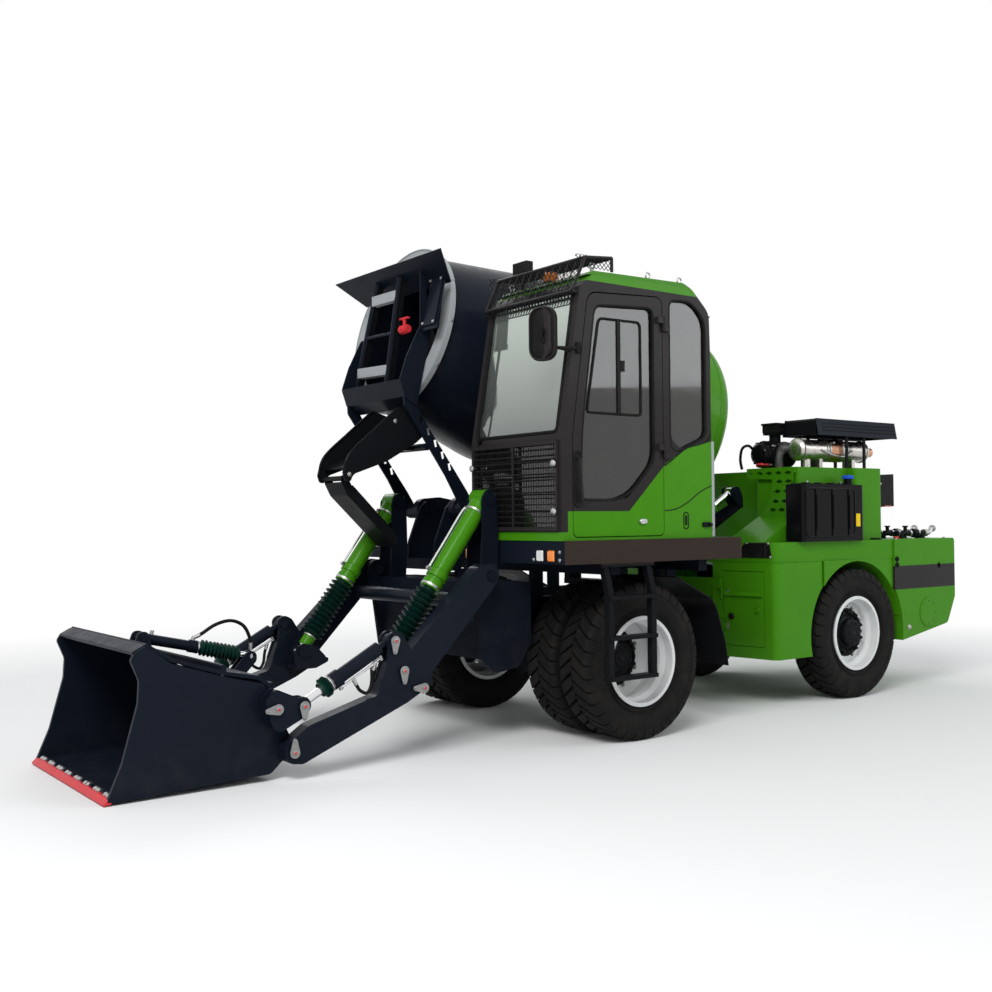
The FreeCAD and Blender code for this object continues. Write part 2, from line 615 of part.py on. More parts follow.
# door hinges: pins on the frame, knuckles on the door
HINGE_LINE = (DOOR_REAR_X, CAB_LEFT_Y + 16)
HINGE_HEIGHTS = (1930, 2780)
frame_hinges = []
door_hinges = []
for z in HINGE_HEIGHTS:
    frame_hinges.append(bar((HINGE_LINE[0], HINGE_LINE[1], z - 50), (HINGE_LINE[0], HINGE_LINE[1], z - FIT),
                            13))
    frame_hinges.append(bar((HINGE_LINE[0], HINGE_LINE[1], z - 50), (HINGE_LINE[0], HINGE_LINE[1], z + 46),
                            6))
    frame_hinges.append(block(HINGE_LINE[0] - 50, HINGE_LINE[0], CAB_LEFT_Y - 2, CAB_LEFT_Y + 22, z - 50,
                              z - 6))
    knuckle = bar((HINGE_LINE[0], HINGE_LINE[1], z), (HINGE_LINE[0], HINGE_LINE[1], z + 50), 13)
    leaf = block(HINGE_LINE[0], HINGE_LINE[0] + 60, CAB_LEFT_Y + 8, CAB_LEFT_Y + 22, z + 4, z + 46)
    foot = block(HINGE_LINE[0] + DOOR_GAP + 14, HINGE_LINE[0] + 60, CAB_LEFT_Y - 2, CAB_LEFT_Y + 10, z + 4,
                 z + 46)
    pin_bore = bar((HINGE_LINE[0], HINGE_LINE[1], z - 5), (HINGE_LINE[0], HINGE_LINE[1], z + 60), 6 + FIT)
    door_hinges.append(join([knuckle, leaf, foot]).cut(pin_bore))
frame_pieces = [join([cab_frame, cab_guard, front_grille] + mirror + frame_hinges)]

# glass
glass = []
glass_skin = side_plate([(x - 12, z) for x, z in ((CAB_FRONT_X, 1900), (CAB_FRONT_X - 6, 2010), (625, 2950),
                                                  (600, 2975))]
                        + [(x - 19, z) for x, z in ((600, 2975), (625, 2950), (CAB_FRONT_X - 6, 2010),
                                                    (CAB_FRONT_X, 1900))],
                        CAB_RIGHT_Y + 55 + FIT, CAB_LEFT_Y - 55 - FIT)
glass.append(glass_skin.common(screen_opening.common(cross_plate([
    (CAB_RIGHT_Y + 55 + FIT, 2030 + FIT, 40), (CAB_LEFT_Y - 55 - FIT, 2030 + FIT, 40),
    (CAB_LEFT_Y - 65 - FIT, 2930 - FIT, 60),
    (CAB_RIGHT_Y + 65 + FIT, 2930 - FIT, 60)], 560, 900))))
glass.append(cross_plate([(CAB_RIGHT_Y + 55 + FIT, 1425 + FIT, 30), (CAB_LEFT_Y - 55 - FIT, 1425 + FIT, 30),
                          (CAB_LEFT_Y - 55 - FIT, 1960 - FIT, 30), (CAB_RIGHT_Y + 55 + FIT, 1960 - FIT, 30)],
                         CAB_FRONT_X - 26, CAB_FRONT_X - 20))
glass.append(side_plate([(-520 + FIT, 2040 + FIT, 60), (-170 - FIT, 1900 + FIT, 120),
                         (-170 - FIT, 2950 - FIT, 60),
                         (-380, 2965 - FIT, 80), (-520 + FIT, 2850, 90)], CAB_LEFT_Y - 24, CAB_LEFT_Y - 18))
glass.append(side_plate([(-500 + FIT, 2080 + FIT, 80), (520 - FIT, 2080 + FIT, 80), (600 - FIT, 2300, 100),
                         (500 - FIT, 2930 - FIT, 80), (-380, 2940 - FIT, 80), (-500 + FIT, 2800, 80)],
                        CAB_RIGHT_Y + 18, CAB_RIGHT_Y + 24))
glass.append(cross_plate([(CAB_RIGHT_Y + 70 + FIT, 2080 + FIT, 60), (CAB_LEFT_Y - 70 - FIT, 2080 + FIT, 60),
                          (CAB_LEFT_Y - 70 - FIT, 2780 - FIT, 60), (CAB_RIGHT_Y + 70 + FIT, 2780 - FIT, 60)],
                         CAB_REAR_X + 18, CAB_REAR_X + 24))

# interior: seat on its box, console, steering column and wheel
seat_y = (CAB_RIGHT_Y + CAB_LEFT_Y) / 2
floor_top = CAB_FLOOR_Z + CAB_WALL
seat_box = block(-330, 60, seat_y - 190, seat_y + 190, floor_top, floor_top + 260)
cushion = side_plate([(-340, floor_top + 260, 30), (150, floor_top + 270, 40), (160, floor_top + 380, 50),
                      (-340, floor_top + 360, 30)], seat_y - 240, seat_y + 240)
back = side_plate([(-340, floor_top + 340, 30), (-220, floor_top + 350, 40), (-330, floor_top + 950, 50),
                   (-440, floor_top + 950, 50)], seat_y - 220, seat_y + 220)
console = side_plate([(560, floor_top, 10), (720, floor_top, 10), (720, floor_top + 360, 20),
                      (660, floor_top + 480, 60),
                      (520, floor_top + 420, 60)], seat_y - 260, seat_y + 260)
column = bar((600, seat_y, floor_top + 380), (470, seat_y, floor_top + 640), 28)
wheel_axis = V(470 - 600, 0, 260)
wheel = Part.makeTorus(190, 14, V(462, seat_y, floor_top + 656), wheel_axis)
spokes = []
side_dir = V(0, 1, 0)
up_dir = wheel_axis.cross(side_dir)
up_dir.normalize()
for a in (90, 210, 330):
    tip = side_dir * (188 * math.cos(math.radians(a))) + up_dir * (188 * math.sin(math.radians(a)))
    centre = V(466, seat_y, floor_top + 648)
    spokes.append(bar(tuple(centre), tuple(centre + tip + V(-4, 0, 8)), 11))
cab_interior = [join([seat_box, cushion, back]), join([console, column, wheel] + spokes)]

# door with its window opening and handle
door_slab = side_plate(door_points, CAB_LEFT_Y - CAB_WALL, CAB_LEFT_Y)
door_window = [
    (-20, 1860, 90), (240, 1600, 160), (625, 1600, 60), (622, 2010, 200), (500, 2850, 70), (-20, 2880, 60),
]
door_window_cut = side_plate(door_window, CAB_LEFT_Y - 100, CAB_LEFT_Y + 20)
handle = join([
    bar((640, CAB_LEFT_Y, 1600), (640, CAB_LEFT_Y + 30, 1600), 8),
    bar((660, CAB_LEFT_Y, 1860), (660, CAB_LEFT_Y + 30, 1860), 8),
    bar((640, CAB_LEFT_Y + 28, 1596), (660, CAB_LEFT_Y + 28, 1864), 9),
])
cab_door = join([door_slab.cut(door_window_cut), handle] + door_hinges)
door_glass = side_plate([
    (-20 + FIT, 1860, 90), (240, 1600 + FIT, 160), (625 - FIT, 1600 + FIT, 60), (622 - FIT, 2010, 200),
    (500 - FIT, 2850 - FIT, 70), (-20 + FIT, 2880 - FIT, 60),
], CAB_LEFT_Y - 26, CAB_LEFT_Y - 20)

# ---------------------------------------------------------------- loader arms

arm_points = [
    (905, 1120, 70), (955, 1205, 60), (1085, 1180, 60), (1640, 655, 40), (1755, 640, 40), (1830, 440, 60),
    (2290, 312, 60),
    (2440, 210, 60), (2440, 110, 60), (2330, 96, 60), (1625, 375, 60), (1500, 440, 60), (1430, 560, 60),
    (975, 1030, 70),
]
arm_solid = side_plate(arm_points, ARM_IN_Y, ARM_OUT_Y)
arm_hollow = side_plate([
    (1105, 1090, 20), (1640, 590, 30), (1730, 580, 30), (1780, 400, 30), (2230, 275, 30), (2200, 190, 30),
    (1640, 425, 30), (1530, 480, 30), (1470, 570, 30), (1060, 1020, 30),
], ARM_IN_Y + 22, ARM_OUT_Y - 22)
lever_points = [
    (1480, 440, 50), (1430, 560, 60), (1560, 640, 60), (1655, 790, 60), (1718, 822, 50), (1766, 780, 45),
    (1756, 700, 45),
    (1762, 640, 60), (1830, 450, 60),
]
arm_left = [arm_solid.cut(arm_hollow)]
for y1, y2 in ((ARM_IN_Y, ARM_IN_Y + 20), (ARM_OUT_Y - 20, ARM_OUT_Y)):
    arm_left.append(side_plate(lever_points, y1, y2))
arm_left.append(side_plate([(1475, 470), (1560, 640), (1610, 640), (1560, 470)], ARM_IN_Y, ARM_OUT_Y))
# box that carries the lift cylinder's eye
arm_left.append(side_plate([(1450, 495, 40), (1560, 452, 40), (1720, 452, 50), (1722, 590, 60),
                            (1660, 630, 50),
                            (1560, 606, 40)], 508, 522))
arm_left.append(side_plate([(1450, 495, 30), (1560, 450, 30), (1720, 450, 10), (1720, 468, 8),
                            (1570, 470, 8),
                            (1470, 520, 8)], 508, ARM_IN_Y + 5))
arm_left.append(bar((LIFT_EYE[0], 494, LIFT_EYE[1]), (LIFT_EYE[0], 515, LIFT_EYE[1]), 40))
arm_left.append(bar(spot(TILT_ANCHOR, ARM_IN_Y - 14), spot(TILT_ANCHOR, ARM_OUT_Y + 14), 30))
arm_left.append(bar(spot(BUCKET_HINGE, BUCKET_HALF - 60), spot(BUCKET_HINGE, ARM_OUT_Y + 14), 32))
arm_left = join(arm_left)
pivot_hole = bar(spot(ARM_PIVOT, 600), spot(ARM_PIVOT, 830), 35 + PIN_FIT)
arm_left = arm_left.cut(pivot_hole)
torque_tube = tube((1120, -ARM_IN_Y - 5, 960), (1120, ARM_IN_Y + 5, 960), 50, 40)
loader_arms = join([arm_left, mirrored(arm_left), torque_tube])

# ---------------------------------------------------------------- bucket

bucket_profile = [
    (3205, 822, 20), (3262, 790, 25), (3285, 752, 30), (3238, 640, 60), (3245, 520, 80), (3330, 210, 120),
    (3410, 22), (3340, 14), (2480, 42, 60), (2405, 110, 60), (2350, 130, 60), (2330, 190, 60),
    (2400, 330, 60), (2452, 440, 60),
    (2520, 560, 60), (2740, 615, 60), (3060, 718, 60),
]
hinge_hole = bar(spot(BUCKET_HINGE, 500), spot(BUCKET_HINGE, 900), 32 + PIN_FIT)
bucket_side = side_plate(bucket_profile, BUCKET_HALF - BUCKET_PLATE, BUCKET_HALF).cut(hinge_hole)
ear_profile = [
    (2270, 430, 40), (2300, 478, 40), (2360, 478, 40), (2500, 540, 30), (2560, 470, 40), (2520, 330, 40),
    (2470, 290, 40),
    (2300, 370, 40),
]
bucket_pieces = [bucket_side]
for y1, y2 in ((694, 712), (768, 786)):
    bucket_pieces.append(side_plate(ear_profile, y1, y2))
bucket_pieces.append(side_plate([(2440, 320), (2505, 335), (2530, 460), (2490, 505), (2440, 480)],
                                BUCKET_HALF - 5, 786))
bucket_pieces.append(bar(spot(TILT_EYE, 768), spot(TILT_EYE, 800), 30))
bucket_pieces.append(bar(spot(TILT_EYE, 683), spot(TILT_EYE, 712), 30))
bucket_half = join(bucket_pieces)
width = BUCKET_HALF - BUCKET_PLATE
floor_plate = side_plate([(3345, 14), (3345, 40), (2570, 60), (2480, 78), (2480, 42, 20)], -width - 2,
                         width + 2)
back_low = side_plate([(2480, 42, 20), (2480, 72), (2462, 100), (2440, 90), (2450, 60)], -width - 2,
                      width + 2)
lever_slot = block(2380, 2500, -46, 46, 480, 660)
back_top = side_plate([(2452, 540), (2480, 530), (2545, 583), (2750, 626), (3050, 722), (3205, 822),
                       (3190, 836),
                       (3040, 742), (2740, 645), (2530, 604)], -width - 2, width + 2).cut(lever_slot)
lip_bar = side_plate([(3190, 806, 8), (3262, 772, 8), (3272, 792, 8), (3200, 830, 8)], -width - 2, width + 2)
back_sides = []
for side in (1, -1):
    ys = sorted((side * 520, side * (width + 2)))
    back_sides.append(side_plate([(2442, 80), (2466, 80), (2478, 560), (2454, 560)], ys[0], ys[1]))
for y in (-330, 0, 330):
    back_sides.append(side_plate([(2560, 52), (3300, 34), (3300, 15), (2560, 15)], y - 20, y + 20))
cross_rib = [side_plate([(2735, 630), (2765, 640), (2765, 690, 10), (2735, 680, 10)], -width, width)]
gate_ears = []
for y in (-54, 38):
    gate_ears.append(side_plate([(2930, 690), (3060, 725), (3020, 840, 35), (2960, 840, 35)], y, y + 18))
gate_ears.append(bar(spot(GATE_ANCHOR, -64), spot(GATE_ANCHOR, 64), 17))
gate_hinge_ears = []
for y in (-560, -250, 240, 540):
    gate_hinge_ears.append(side_plate([(2400, 470, 25), (2400, 540, 30), (2500, 575), (2490, 520),
                                       (2450, 480)], y, y + 16))
loader_bucket = join([bucket_half, mirrored(bucket_half), floor_plate, back_low, back_top,
                      lip_bar] + back_sides
                     + cross_rib + gate_ears + gate_hinge_ears)
gate_bore = bar(spot(GATE_HINGE, -620), spot(GATE_HINGE, 620), 16 + PIN_FIT)
loader_bucket = loader_bucket.cut(gate_bore)
cutting_edge = side_plate([(BUCKET_LIP_X, 8), (BUCKET_LIP_X, 13), (3400, 40), (3346, 41), (3346, 14)],
                          -BUCKET_HALF, BUCKET_HALF)
cutting_edge = cutting_edge.cut(loader_bucket)
bolts = []
for i in range(5):
    for step in (-28, 28):
        y = -BUCKET_HALF + 2 * BUCKET_HALF * (i + 0.5) / 5 + step
        bolts.append(Part.makeSphere(15, V(3376, y, 36)))
cutting_edge = join([cutting_edge] + bolts).cut(loader_bucket)

# gate: curved door in the bucket's back, with its lever
gate_skin = side_plate([
    (2418, 485), (2430, 490), (2440, 400, 300), (2448, 300, 300), (2472, 108), (2464, 104), (2438, 300, 300),
    (2430, 400, 300),
], -516, 516)
for y in (-250, 240):
    gate_skin = gate_skin.cut(block(2390, 2470, y - 6, y + 22, 452, 520))
gate_ribs = []
for y in (-400, -8, 384):
    gate_ribs.append(side_plate([(2425, 470), (2440, 300), (2458, 120), (2440, 118), (2380, 300, 200),
                                 (2400, 470)], y, y + 16))
gate_lever = []
for y in (-34, 22):
    gate_lever.append(side_plate([(2440, 480, 25), (2445, 530, 25), (2320, 672, 35), (2262, 672, 35),
                                  (2262, 610, 35),
                                  (2400, 470, 20)], y, y + 12))
gate_pin = bar(spot(GATE_HINGE, -575), spot(GATE_HINGE, 575), 16)
gate_arms = [side_plate([(2405, 480), (2445, 480), (2450, 530, 30), (2400, 530, 30)], y, y + 16)
             for y in (-225, 215)]
gate_knuckles = [bar(spot(GATE_HINGE, y), spot(GATE_HINGE, y + 60), 26) for y in (-200, -60, 20, 150)]
bucket_gate = join([gate_skin] + gate_ribs + gate_lever + [gate_pin] + gate_arms + gate_knuckles)
bucket_gate = bucket_gate.cut(bar(spot(GATE_EYE, -60), spot(GATE_EYE, 60), 17))

# ---------------------------------------------------------------- loader cylinders

LIFT_BARREL = 720
TILT_BARREL = 470
COVER_END = 118
GATE_BARREL = 360
lift_barrel = barrel(LIFT_ANCHOR, LIFT_EYE, LIFT_Y, LIFT_BARREL, 62, 36, 62, 2 * TOWER_GAP - 6)
lift_barrel = lift_barrel.cut(eye(LIFT_ANCHOR, LIFT_Y, 27 + PIN_FIT, 200))
lift_rod = rod(LIFT_ANCHOR, LIFT_EYE, LIFT_Y, LIFT_BARREL - 90, 36, 52, 64)
lift_length = math.dist(LIFT_ANCHOR, LIFT_EYE)
lift_cover = bellows(LIFT_ANCHOR, LIFT_EYE, LIFT_Y, LIFT_BARREL + FIT, lift_length - COVER_END, 36 + FIT,
                     84, 14)
tilt_barrel = barrel(TILT_ANCHOR, TILT_EYE, TILT_Y, TILT_BARREL, 43, 25, 42, 48, 92)
tilt_barrel = tilt_barrel.cut(eye(TILT_ANCHOR, TILT_Y, 30 + PIN_FIT, 60))
tilt_rod = rod(TILT_ANCHOR, TILT_EYE, TILT_Y, TILT_BARREL - 275, 25, 40, 44)
gate_barrel = barrel(GATE_ANCHOR, GATE_EYE, 0, GATE_BARREL, 32, 18, 30, 66)
gate_barrel = gate_barrel.cut(eye(GATE_ANCHOR, 0, 17 + PIN_FIT, 80))
gate_rod = rod(GATE_ANCHOR, GATE_EYE, 0, GATE_BARREL - 60, 18, 28, 34)

# ---------------------------------------------------------------- drum, cradle, hopper, chute

pitch = math.radians(DRUM_PITCH)
drum_start = V(DRUM_MOUTH[0], DRUM_Y, DRUM_MOUTH[1])
drum_turn = FreeCAD.Rotation(V(0, 1, 0), -DRUM_PITCH)
drum_axis = drum_turn.multVec(V(1, 0, 0))


def on_drum(shape):
    # moves a shape drawn with its X along the drum, out of the mouth, to the drum's real place
    shape = shape.copy()
    shape.Placement = FreeCAD.Placement(drum_start, drum_turn).multiply(shape.Placement)
    return shape


def drum_turned(points):
    # section of (distance back from the mouth, radius) turned about the drum's axis
    face = outline(points, lambda p: V(-p[0], p[1], 0))
    return on_drum(face.revolve(V(0, 0, 0), V(1, 0, 0), 360))


drum_outer = [
    (0, DRUM_MOUTH_RADIUS, 6), (45, DRUM_MOUTH_RADIUS, 6), (60, DRUM_NECK_RADIUS, 10), (900, 755, 600),
    (1500, 790, 500), (1850, DRUM_RADIUS, 300), (DRUM_LENGTH - 290, DRUM_RADIUS, 200),
    (DRUM_LENGTH - 110, 620, 260),
    (DRUM_LENGTH, 240, 60), (DRUM_LENGTH, 0),
]
wall = DRUM_WALL
drum_inner = [
    (DRUM_LENGTH - 12, 0), (DRUM_LENGTH - 12, 240 - wall, 56), (DRUM_LENGTH - 118, 620 - wall, 250),
    (DRUM_LENGTH - 295, DRUM_RADIUS - wall, 190), (1852, DRUM_RADIUS - wall, 300), (1502, 790 - wall, 500),
    (902, 755 - wall, 600), (70, DRUM_NECK_RADIUS - wall, 5), (10, DRUM_NECK_RADIUS - 70, 5),
    (0, DRUM_NECK_RADIUS - 70),
]
drum_shell = drum_turned(drum_outer + drum_inner)
track = drum_turned([
    (TRACK_PLACE - 40, TRACK_RADIUS - 50), (TRACK_PLACE - 40, TRACK_RADIUS, 6),
    (TRACK_PLACE + 40, TRACK_RADIUS, 6), (TRACK_PLACE + 40, TRACK_RADIUS - 40),
])
boss = drum_turned([
    (DRUM_LENGTH - 6, 0), (DRUM_LENGTH - 6, 190), (DRUM_LENGTH + 34, 190, 8), (DRUM_LENGTH + 34, 0),
])
mixing_drum = join([drum_shell, track, boss])

# cradle: two long beams, cross members, roller stands, tail stand with the drive, front braces
beam_points = [
    (-2050, 1330), (-2050, 1420, 20), (-900, 1440, 60), (380, 1660, 60), (560, 1645, 60), (596, 1560, 60),
    (560, 1490, 50), (480, 1490, 40), (-900, 1330, 60),
]
cradle_pieces = []
hinge_bores = []
for side in (1, -1):
    ys = sorted((CRADLE_Y + side * (CRADLE_HALF - 60), CRADLE_Y + side * CRADLE_HALF))
    cradle_pieces.append(side_plate(beam_points, ys[0], ys[1]))
    near = CRADLE_Y + side * (CRADLE_HALF - 70)
    cradle_pieces.append(bar(spot(CRADLE_HINGE, near),
                             spot(CRADLE_HINGE, CRADLE_Y + side * (BRACE_HALF + 16)), 62))
    hinge_bores.append(bar(spot(CRADLE_HINGE, near - side * 5), spot(CRADLE_HINGE, near + side * 120),
                           34 + PIN_FIT))
for x, z1, z2 in ((-1960, 1332, 1415), (-1300, 1345, 1420), (-150, 1450, 1520), (250, 1530, 1600)):
    cradle_pieces.append(block(x, x + 70, CRADLE_Y - CRADLE_HALF, CRADLE_Y + CRADLE_HALF, z1, z2))
# support rollers under the drum's track
roller_base_z = 1500
for angle in (-38, 38):
    reach = TRACK_RADIUS + ROLLER_RADIUS + FIT
    ry = reach * math.sin(math.radians(angle))
    rz = -reach * math.cos(math.radians(angle))
    cradle_pieces.append(on_drum(bar((-TRACK_PLACE - 45, ry, rz), (-TRACK_PLACE + 45, ry, rz),
                                     ROLLER_RADIUS)))
    cradle_pieces.append(on_drum(bar((-TRACK_PLACE - 95, ry, rz), (-TRACK_PLACE + 95, ry, rz), 24)))
    for x in (-TRACK_PLACE - 85, -TRACK_PLACE + 65):
        foot = drum_start + drum_turn.multVec(V(x, ry, rz))
        stand = cross_plate([
            (foot.y - 85, roller_base_z), (foot.y + 85, roller_base_z), (foot.y + 40, foot.z, 40),
            (foot.y + 40, foot.z + 38, 30), (foot.y - 40, foot.z + 38, 30), (foot.y - 40, foot.z, 40),
        ], foot.x, foot.x + 18)
        cradle_pieces.append(stand)
roller_x = (drum_start + drum_turn.multVec(V(-TRACK_PLACE, 0, -700))).x
cradle_pieces.append(block(roller_x - 115, roller_x + 115, DRUM_Y - 660, DRUM_Y + 600, roller_base_z - 25,
                           roller_base_z + 2))
for side in (1, -1):
    y = DRUM_Y + side * 520
    cradle_pieces.append(block(roller_x - 100, roller_x + 100, y - 10, y + 10, roller_base_z,
                               roller_base_z + 90))
# tail stand and drum drive
drive_start = -(DRUM_LENGTH + 34 + FIT)
shift = CRADLE_Y - DRUM_Y
stand_outline = [
    (shift - CRADLE_HALF, -840), (shift - CRADLE_HALF + 70, -840), (shift - 120, -300, 60),
    (shift + 120, -300, 60),
    (shift + CRADLE_HALF - 70, -840), (shift + CRADLE_HALF, -840), (230, 60, 80), (120, 175, 80),
    (-120, 175, 80),
    (-230, 60, 80),
]
cradle_pieces.append(on_drum(cross_plate(stand_outline, drive_start - 95, drive_start - 65)))
cradle_pieces.append(on_drum(bar((drive_start - 70, 0, 0), (drive_start, 0, 0), 150)))
cradle_pieces.append(on_drum(bar((drive_start - 250, 0, 0), (drive_start - 90, 0, 0), 88)))
# bracket for the drum cylinder's rod, reaching out past the drum
arm_y = CRADLE_Y + CRADLE_HALF
reach_outline = [
    (arm_y - 20, 1335), (arm_y + 200, 1350, 60), (DRUM_LIFT_Y + 40, 1560, 60), (DRUM_LIFT_Y + 58, 1640),
    (DRUM_LIFT_Y - 58, 1640), (DRUM_LIFT_Y - 58, 1600, 30), (arm_y + 120, 1440, 60), (arm_y - 20, 1425),
]
reach_x = DRUM_LIFT_EYE[0] - 90
cradle_pieces.append(cross_plate(reach_outline, reach_x, reach_x + 20))
ear_points = [
    (reach_x, 1560, 10), (reach_x + 20, 1560, 10), (DRUM_LIFT_EYE[0] + 42, DRUM_LIFT_EYE[1] - 30, 40),
    (DRUM_LIFT_EYE[0] + 42, DRUM_LIFT_EYE[1] + 46, 44), (DRUM_LIFT_EYE[0] - 46, DRUM_LIFT_EYE[1] + 46, 44),
    (reach_x, 1650, 30),
]
for near in (DRUM_LIFT_Y - 58, DRUM_LIFT_Y + 40):
    cradle_pieces.append(side_plate(ear_points, near, near + 18))
for near in (DRUM_LIFT_Y - 68, DRUM_LIFT_Y + 56):
    cradle_pieces.append(bar(spot(DRUM_LIFT_EYE, near), spot(DRUM_LIFT_EYE, near + 12), 26))
# front braces with a row of slots, up to the hopper, tied by a tube that carries the chute
brace_points = [
    (470, 1560, 20), (600, 1560, 20), (740, 1800, 200), (1085, 2290, 40), (1098, 2530, 20), (1050, 2550, 20),
    (1010, 2330, 40), (950, 2235, 60), (560, 1700, 60),
]
brace_slots = []
for i in range(5):
    x = 700 + i * 60
    z = 1868 + i * 83
    brace_slots.append(side_plate([(x - 16, z - 26, 6), (x + 10, z - 34, 6), (x + 22, z + 18, 6),
                                   (x - 4, z + 26, 6)], -1000, 100))
brace_holes = Part.makeCompound(brace_slots)
for side in (1, -1):
    ys = sorted((CRADLE_Y + side * BRACE_HALF, CRADLE_Y + side * (BRACE_HALF + 16)))
    cradle_pieces.append(side_plate(brace_points, ys[0], ys[1]).cut(brace_holes))
CARRIER = (885, 2005)
cradle_pieces.append(bar(spot(CARRIER, CRADLE_Y - BRACE_HALF), spot(CARRIER, CRADLE_Y + BRACE_HALF), 26))
pivot_x, pivot_y = CHUTE_PIVOT
cradle_pieces.append(flat_plate([(CARRIER[0], pivot_y - 70), (pivot_x + 42, pivot_y - 42, 40),
                                 (pivot_x + 42, pivot_y + 42, 40),
                                 (CARRIER[0], pivot_y + 70)], 1984, 2000))
cradle_pieces.append(bar((pivot_x, pivot_y, 1990), (pivot_x, pivot_y, 2050), 24))
drum_cradle = join(cradle_pieces).cut(Part.makeCompound(hinge_bores))

# hopper before the mouth: floor, cheeks, two leaning uprights with cross bars, post and the wide visor
MOUTH_GAP = 12
hop = []
cheek_inner = (CRADLE_Y - DRUM_Y + BRACE_HALF + 16 + FIT, CRADLE_Y - DRUM_Y - BRACE_HALF - 16 - FIT)
cheek = [(MOUTH_GAP, -630), (120, -590, 20), (190, -480, 60), (170, -300, 60), (110, -60, 20),
         (MOUTH_GAP, -60)]
hop.append(side_plate(cheek, cheek_inner[0], cheek_inner[0] + 10))
hop.append(side_plate(cheek, cheek_inner[1] - 10, cheek_inner[1]))
floor_outline = [(MOUTH_GAP, -630), (122, -588, 20), (190, -478), (182, -474), (116, -580, 20),
                 (MOUTH_GAP, -621)]
hop_floor = side_plate(floor_outline, cheek_inner[1] - 10, cheek_inner[0] + 10)
hop.append(hop_floor)
visor_slab = side_plate([(46, 250, 4), (300, 366, 4), (296, 375, 4), (42, 259, 4)], -640, 860)
visor_plan = flat_plate([(30, -500), (305, -612), (305, 852), (30, 640)], 200, 400)
hop.append(visor_slab.common(visor_plan))
upright_ends = (((200, -120, 318), (80, -352, -500)), ((200, 190, 318), (80, 96, -520)))
for top, foot in upright_ends:
    hop.append(bar(foot, top, 17))
for t in (0.2, 0.52, 0.84):
    a = V(*upright_ends[0][1]) * (1 - t) + V(*upright_ends[0][0]) * t
    b = V(*upright_ends[1][1]) * (1 - t) + V(*upright_ends[1][0]) * t
    hop.append(bar(tuple(a), tuple(b), 14))
hop.append(cross_plate([(462, -80), (650, -80), (640, 300), (470, 300)], 86, 96))
hop.append(side_plate([(20, -90), (110, -90), (200, 322), (150, 300), (60, 0)], 456, 466))
hop.append(cross_plate([(cheek_inner[0], -100), (660, -100), (660, -60), (cheek_inner[0], -60)], 80, 96))
hop_shape = join([on_drum(h) for h in hop])
loading_hopper = hop_shape.cut(drum_cradle)

# main chute: folded channel with its swing bush, and the ears at its tip
chute_side = [
    (905, 2075, 20), (905, 2225, 20), (1100, 2285, 30), (1500, 1935, 20), (1548, 1800, 30),
    (1530, 1750, 24), (1490, 1750, 24),
    (1470, 1800, 60), (1200, 1895, 60), (960, 2030, 60),
]
chute_left = pivot_y + CHUTE_HALF
chute_right = pivot_y - CHUTE_HALF
floor_low = [(905, 2110), (1495, 1838), (1500, 1850), (910, 2123)]
chute_pieces = [
    side_plate(chute_side, chute_left - 10, chute_left),
    side_plate(chute_side, chute_right, chute_right + 10),
    side_plate(floor_low, chute_right, chute_left),
    tube((pivot_x, pivot_y, 2002), (pivot_x, pivot_y, 2084), 42, 24 + PIN_FIT),
    bar((CHUTE_TIP[0], chute_right, CHUTE_TIP[1]), (CHUTE_TIP[0], chute_left, CHUTE_TIP[1]), 11),
    side_plate([(905, 2108), (930, 2096), (930, 2060), (905, 2075)], chute_right, chute_left),
]
main_chute = join(chute_pieces)
ext_side = [
    (CHUTE_TIP[0] + 26, CHUTE_TIP[1] + 4, 24), (CHUTE_TIP[0], CHUTE_TIP[1] + 28, 24),
    (CHUTE_TIP[0] - 30, CHUTE_TIP[1] + 12, 24),
    (1440, 1720), (1100, 1390, 30), (1078, 1320, 20), (1096, 1296, 10), (1480, 1660, 60),
]
ext_floor = [(1096, 1296), (1480, 1660, 60), (1524, 1745), (1516, 1750), (1473, 1667, 60), (1089, 1303)]
ext_left = pivot_y + EXTENSION_HALF
ext_right = pivot_y - EXTENSION_HALF
chute_extension = join([
    side_plate(ext_side, ext_left - 10, ext_left), side_plate(ext_side, ext_right, ext_right + 10),
    side_plate(ext_floor, ext_right, ext_left),
    bar((CHUTE_TIP[0], ext_right, CHUTE_TIP[1]), (CHUTE_TIP[0], ext_left, CHUTE_TIP[1]), 18),
])
chute_extension = chute_extension.cut(bar((CHUTE_TIP[0], -900, CHUTE_TIP[1]),
                                          (CHUTE_TIP[0], 100, CHUTE_TIP[1]), 11 + PIN_FIT))

# drum cylinder
drum_lift_barrel = barrel(DRUM_LIFT_ANCHOR, DRUM_LIFT_EYE, DRUM_LIFT_Y, 560, 50, 28, 46, 76)
drum_lift_barrel = drum_lift_barrel.cut(eye(DRUM_LIFT_ANCHOR, DRUM_LIFT_Y, 24 + PIN_FIT, 90))
drum_lift_rod = rod(DRUM_LIFT_ANCHOR, DRUM_LIFT_EYE, DRUM_LIFT_Y, 160, 28, 38, 68)

# ---------------------------------------------------------------- rear frame

ARCH_RADIUS = TYRE_RADIUS + 62
FACE_SLANT = -80 / (BODY_HALF - 385)


def face_x(y):
    # the toolbox's slanted front face
    return -1530 + (y - 385) * FACE_SLANT


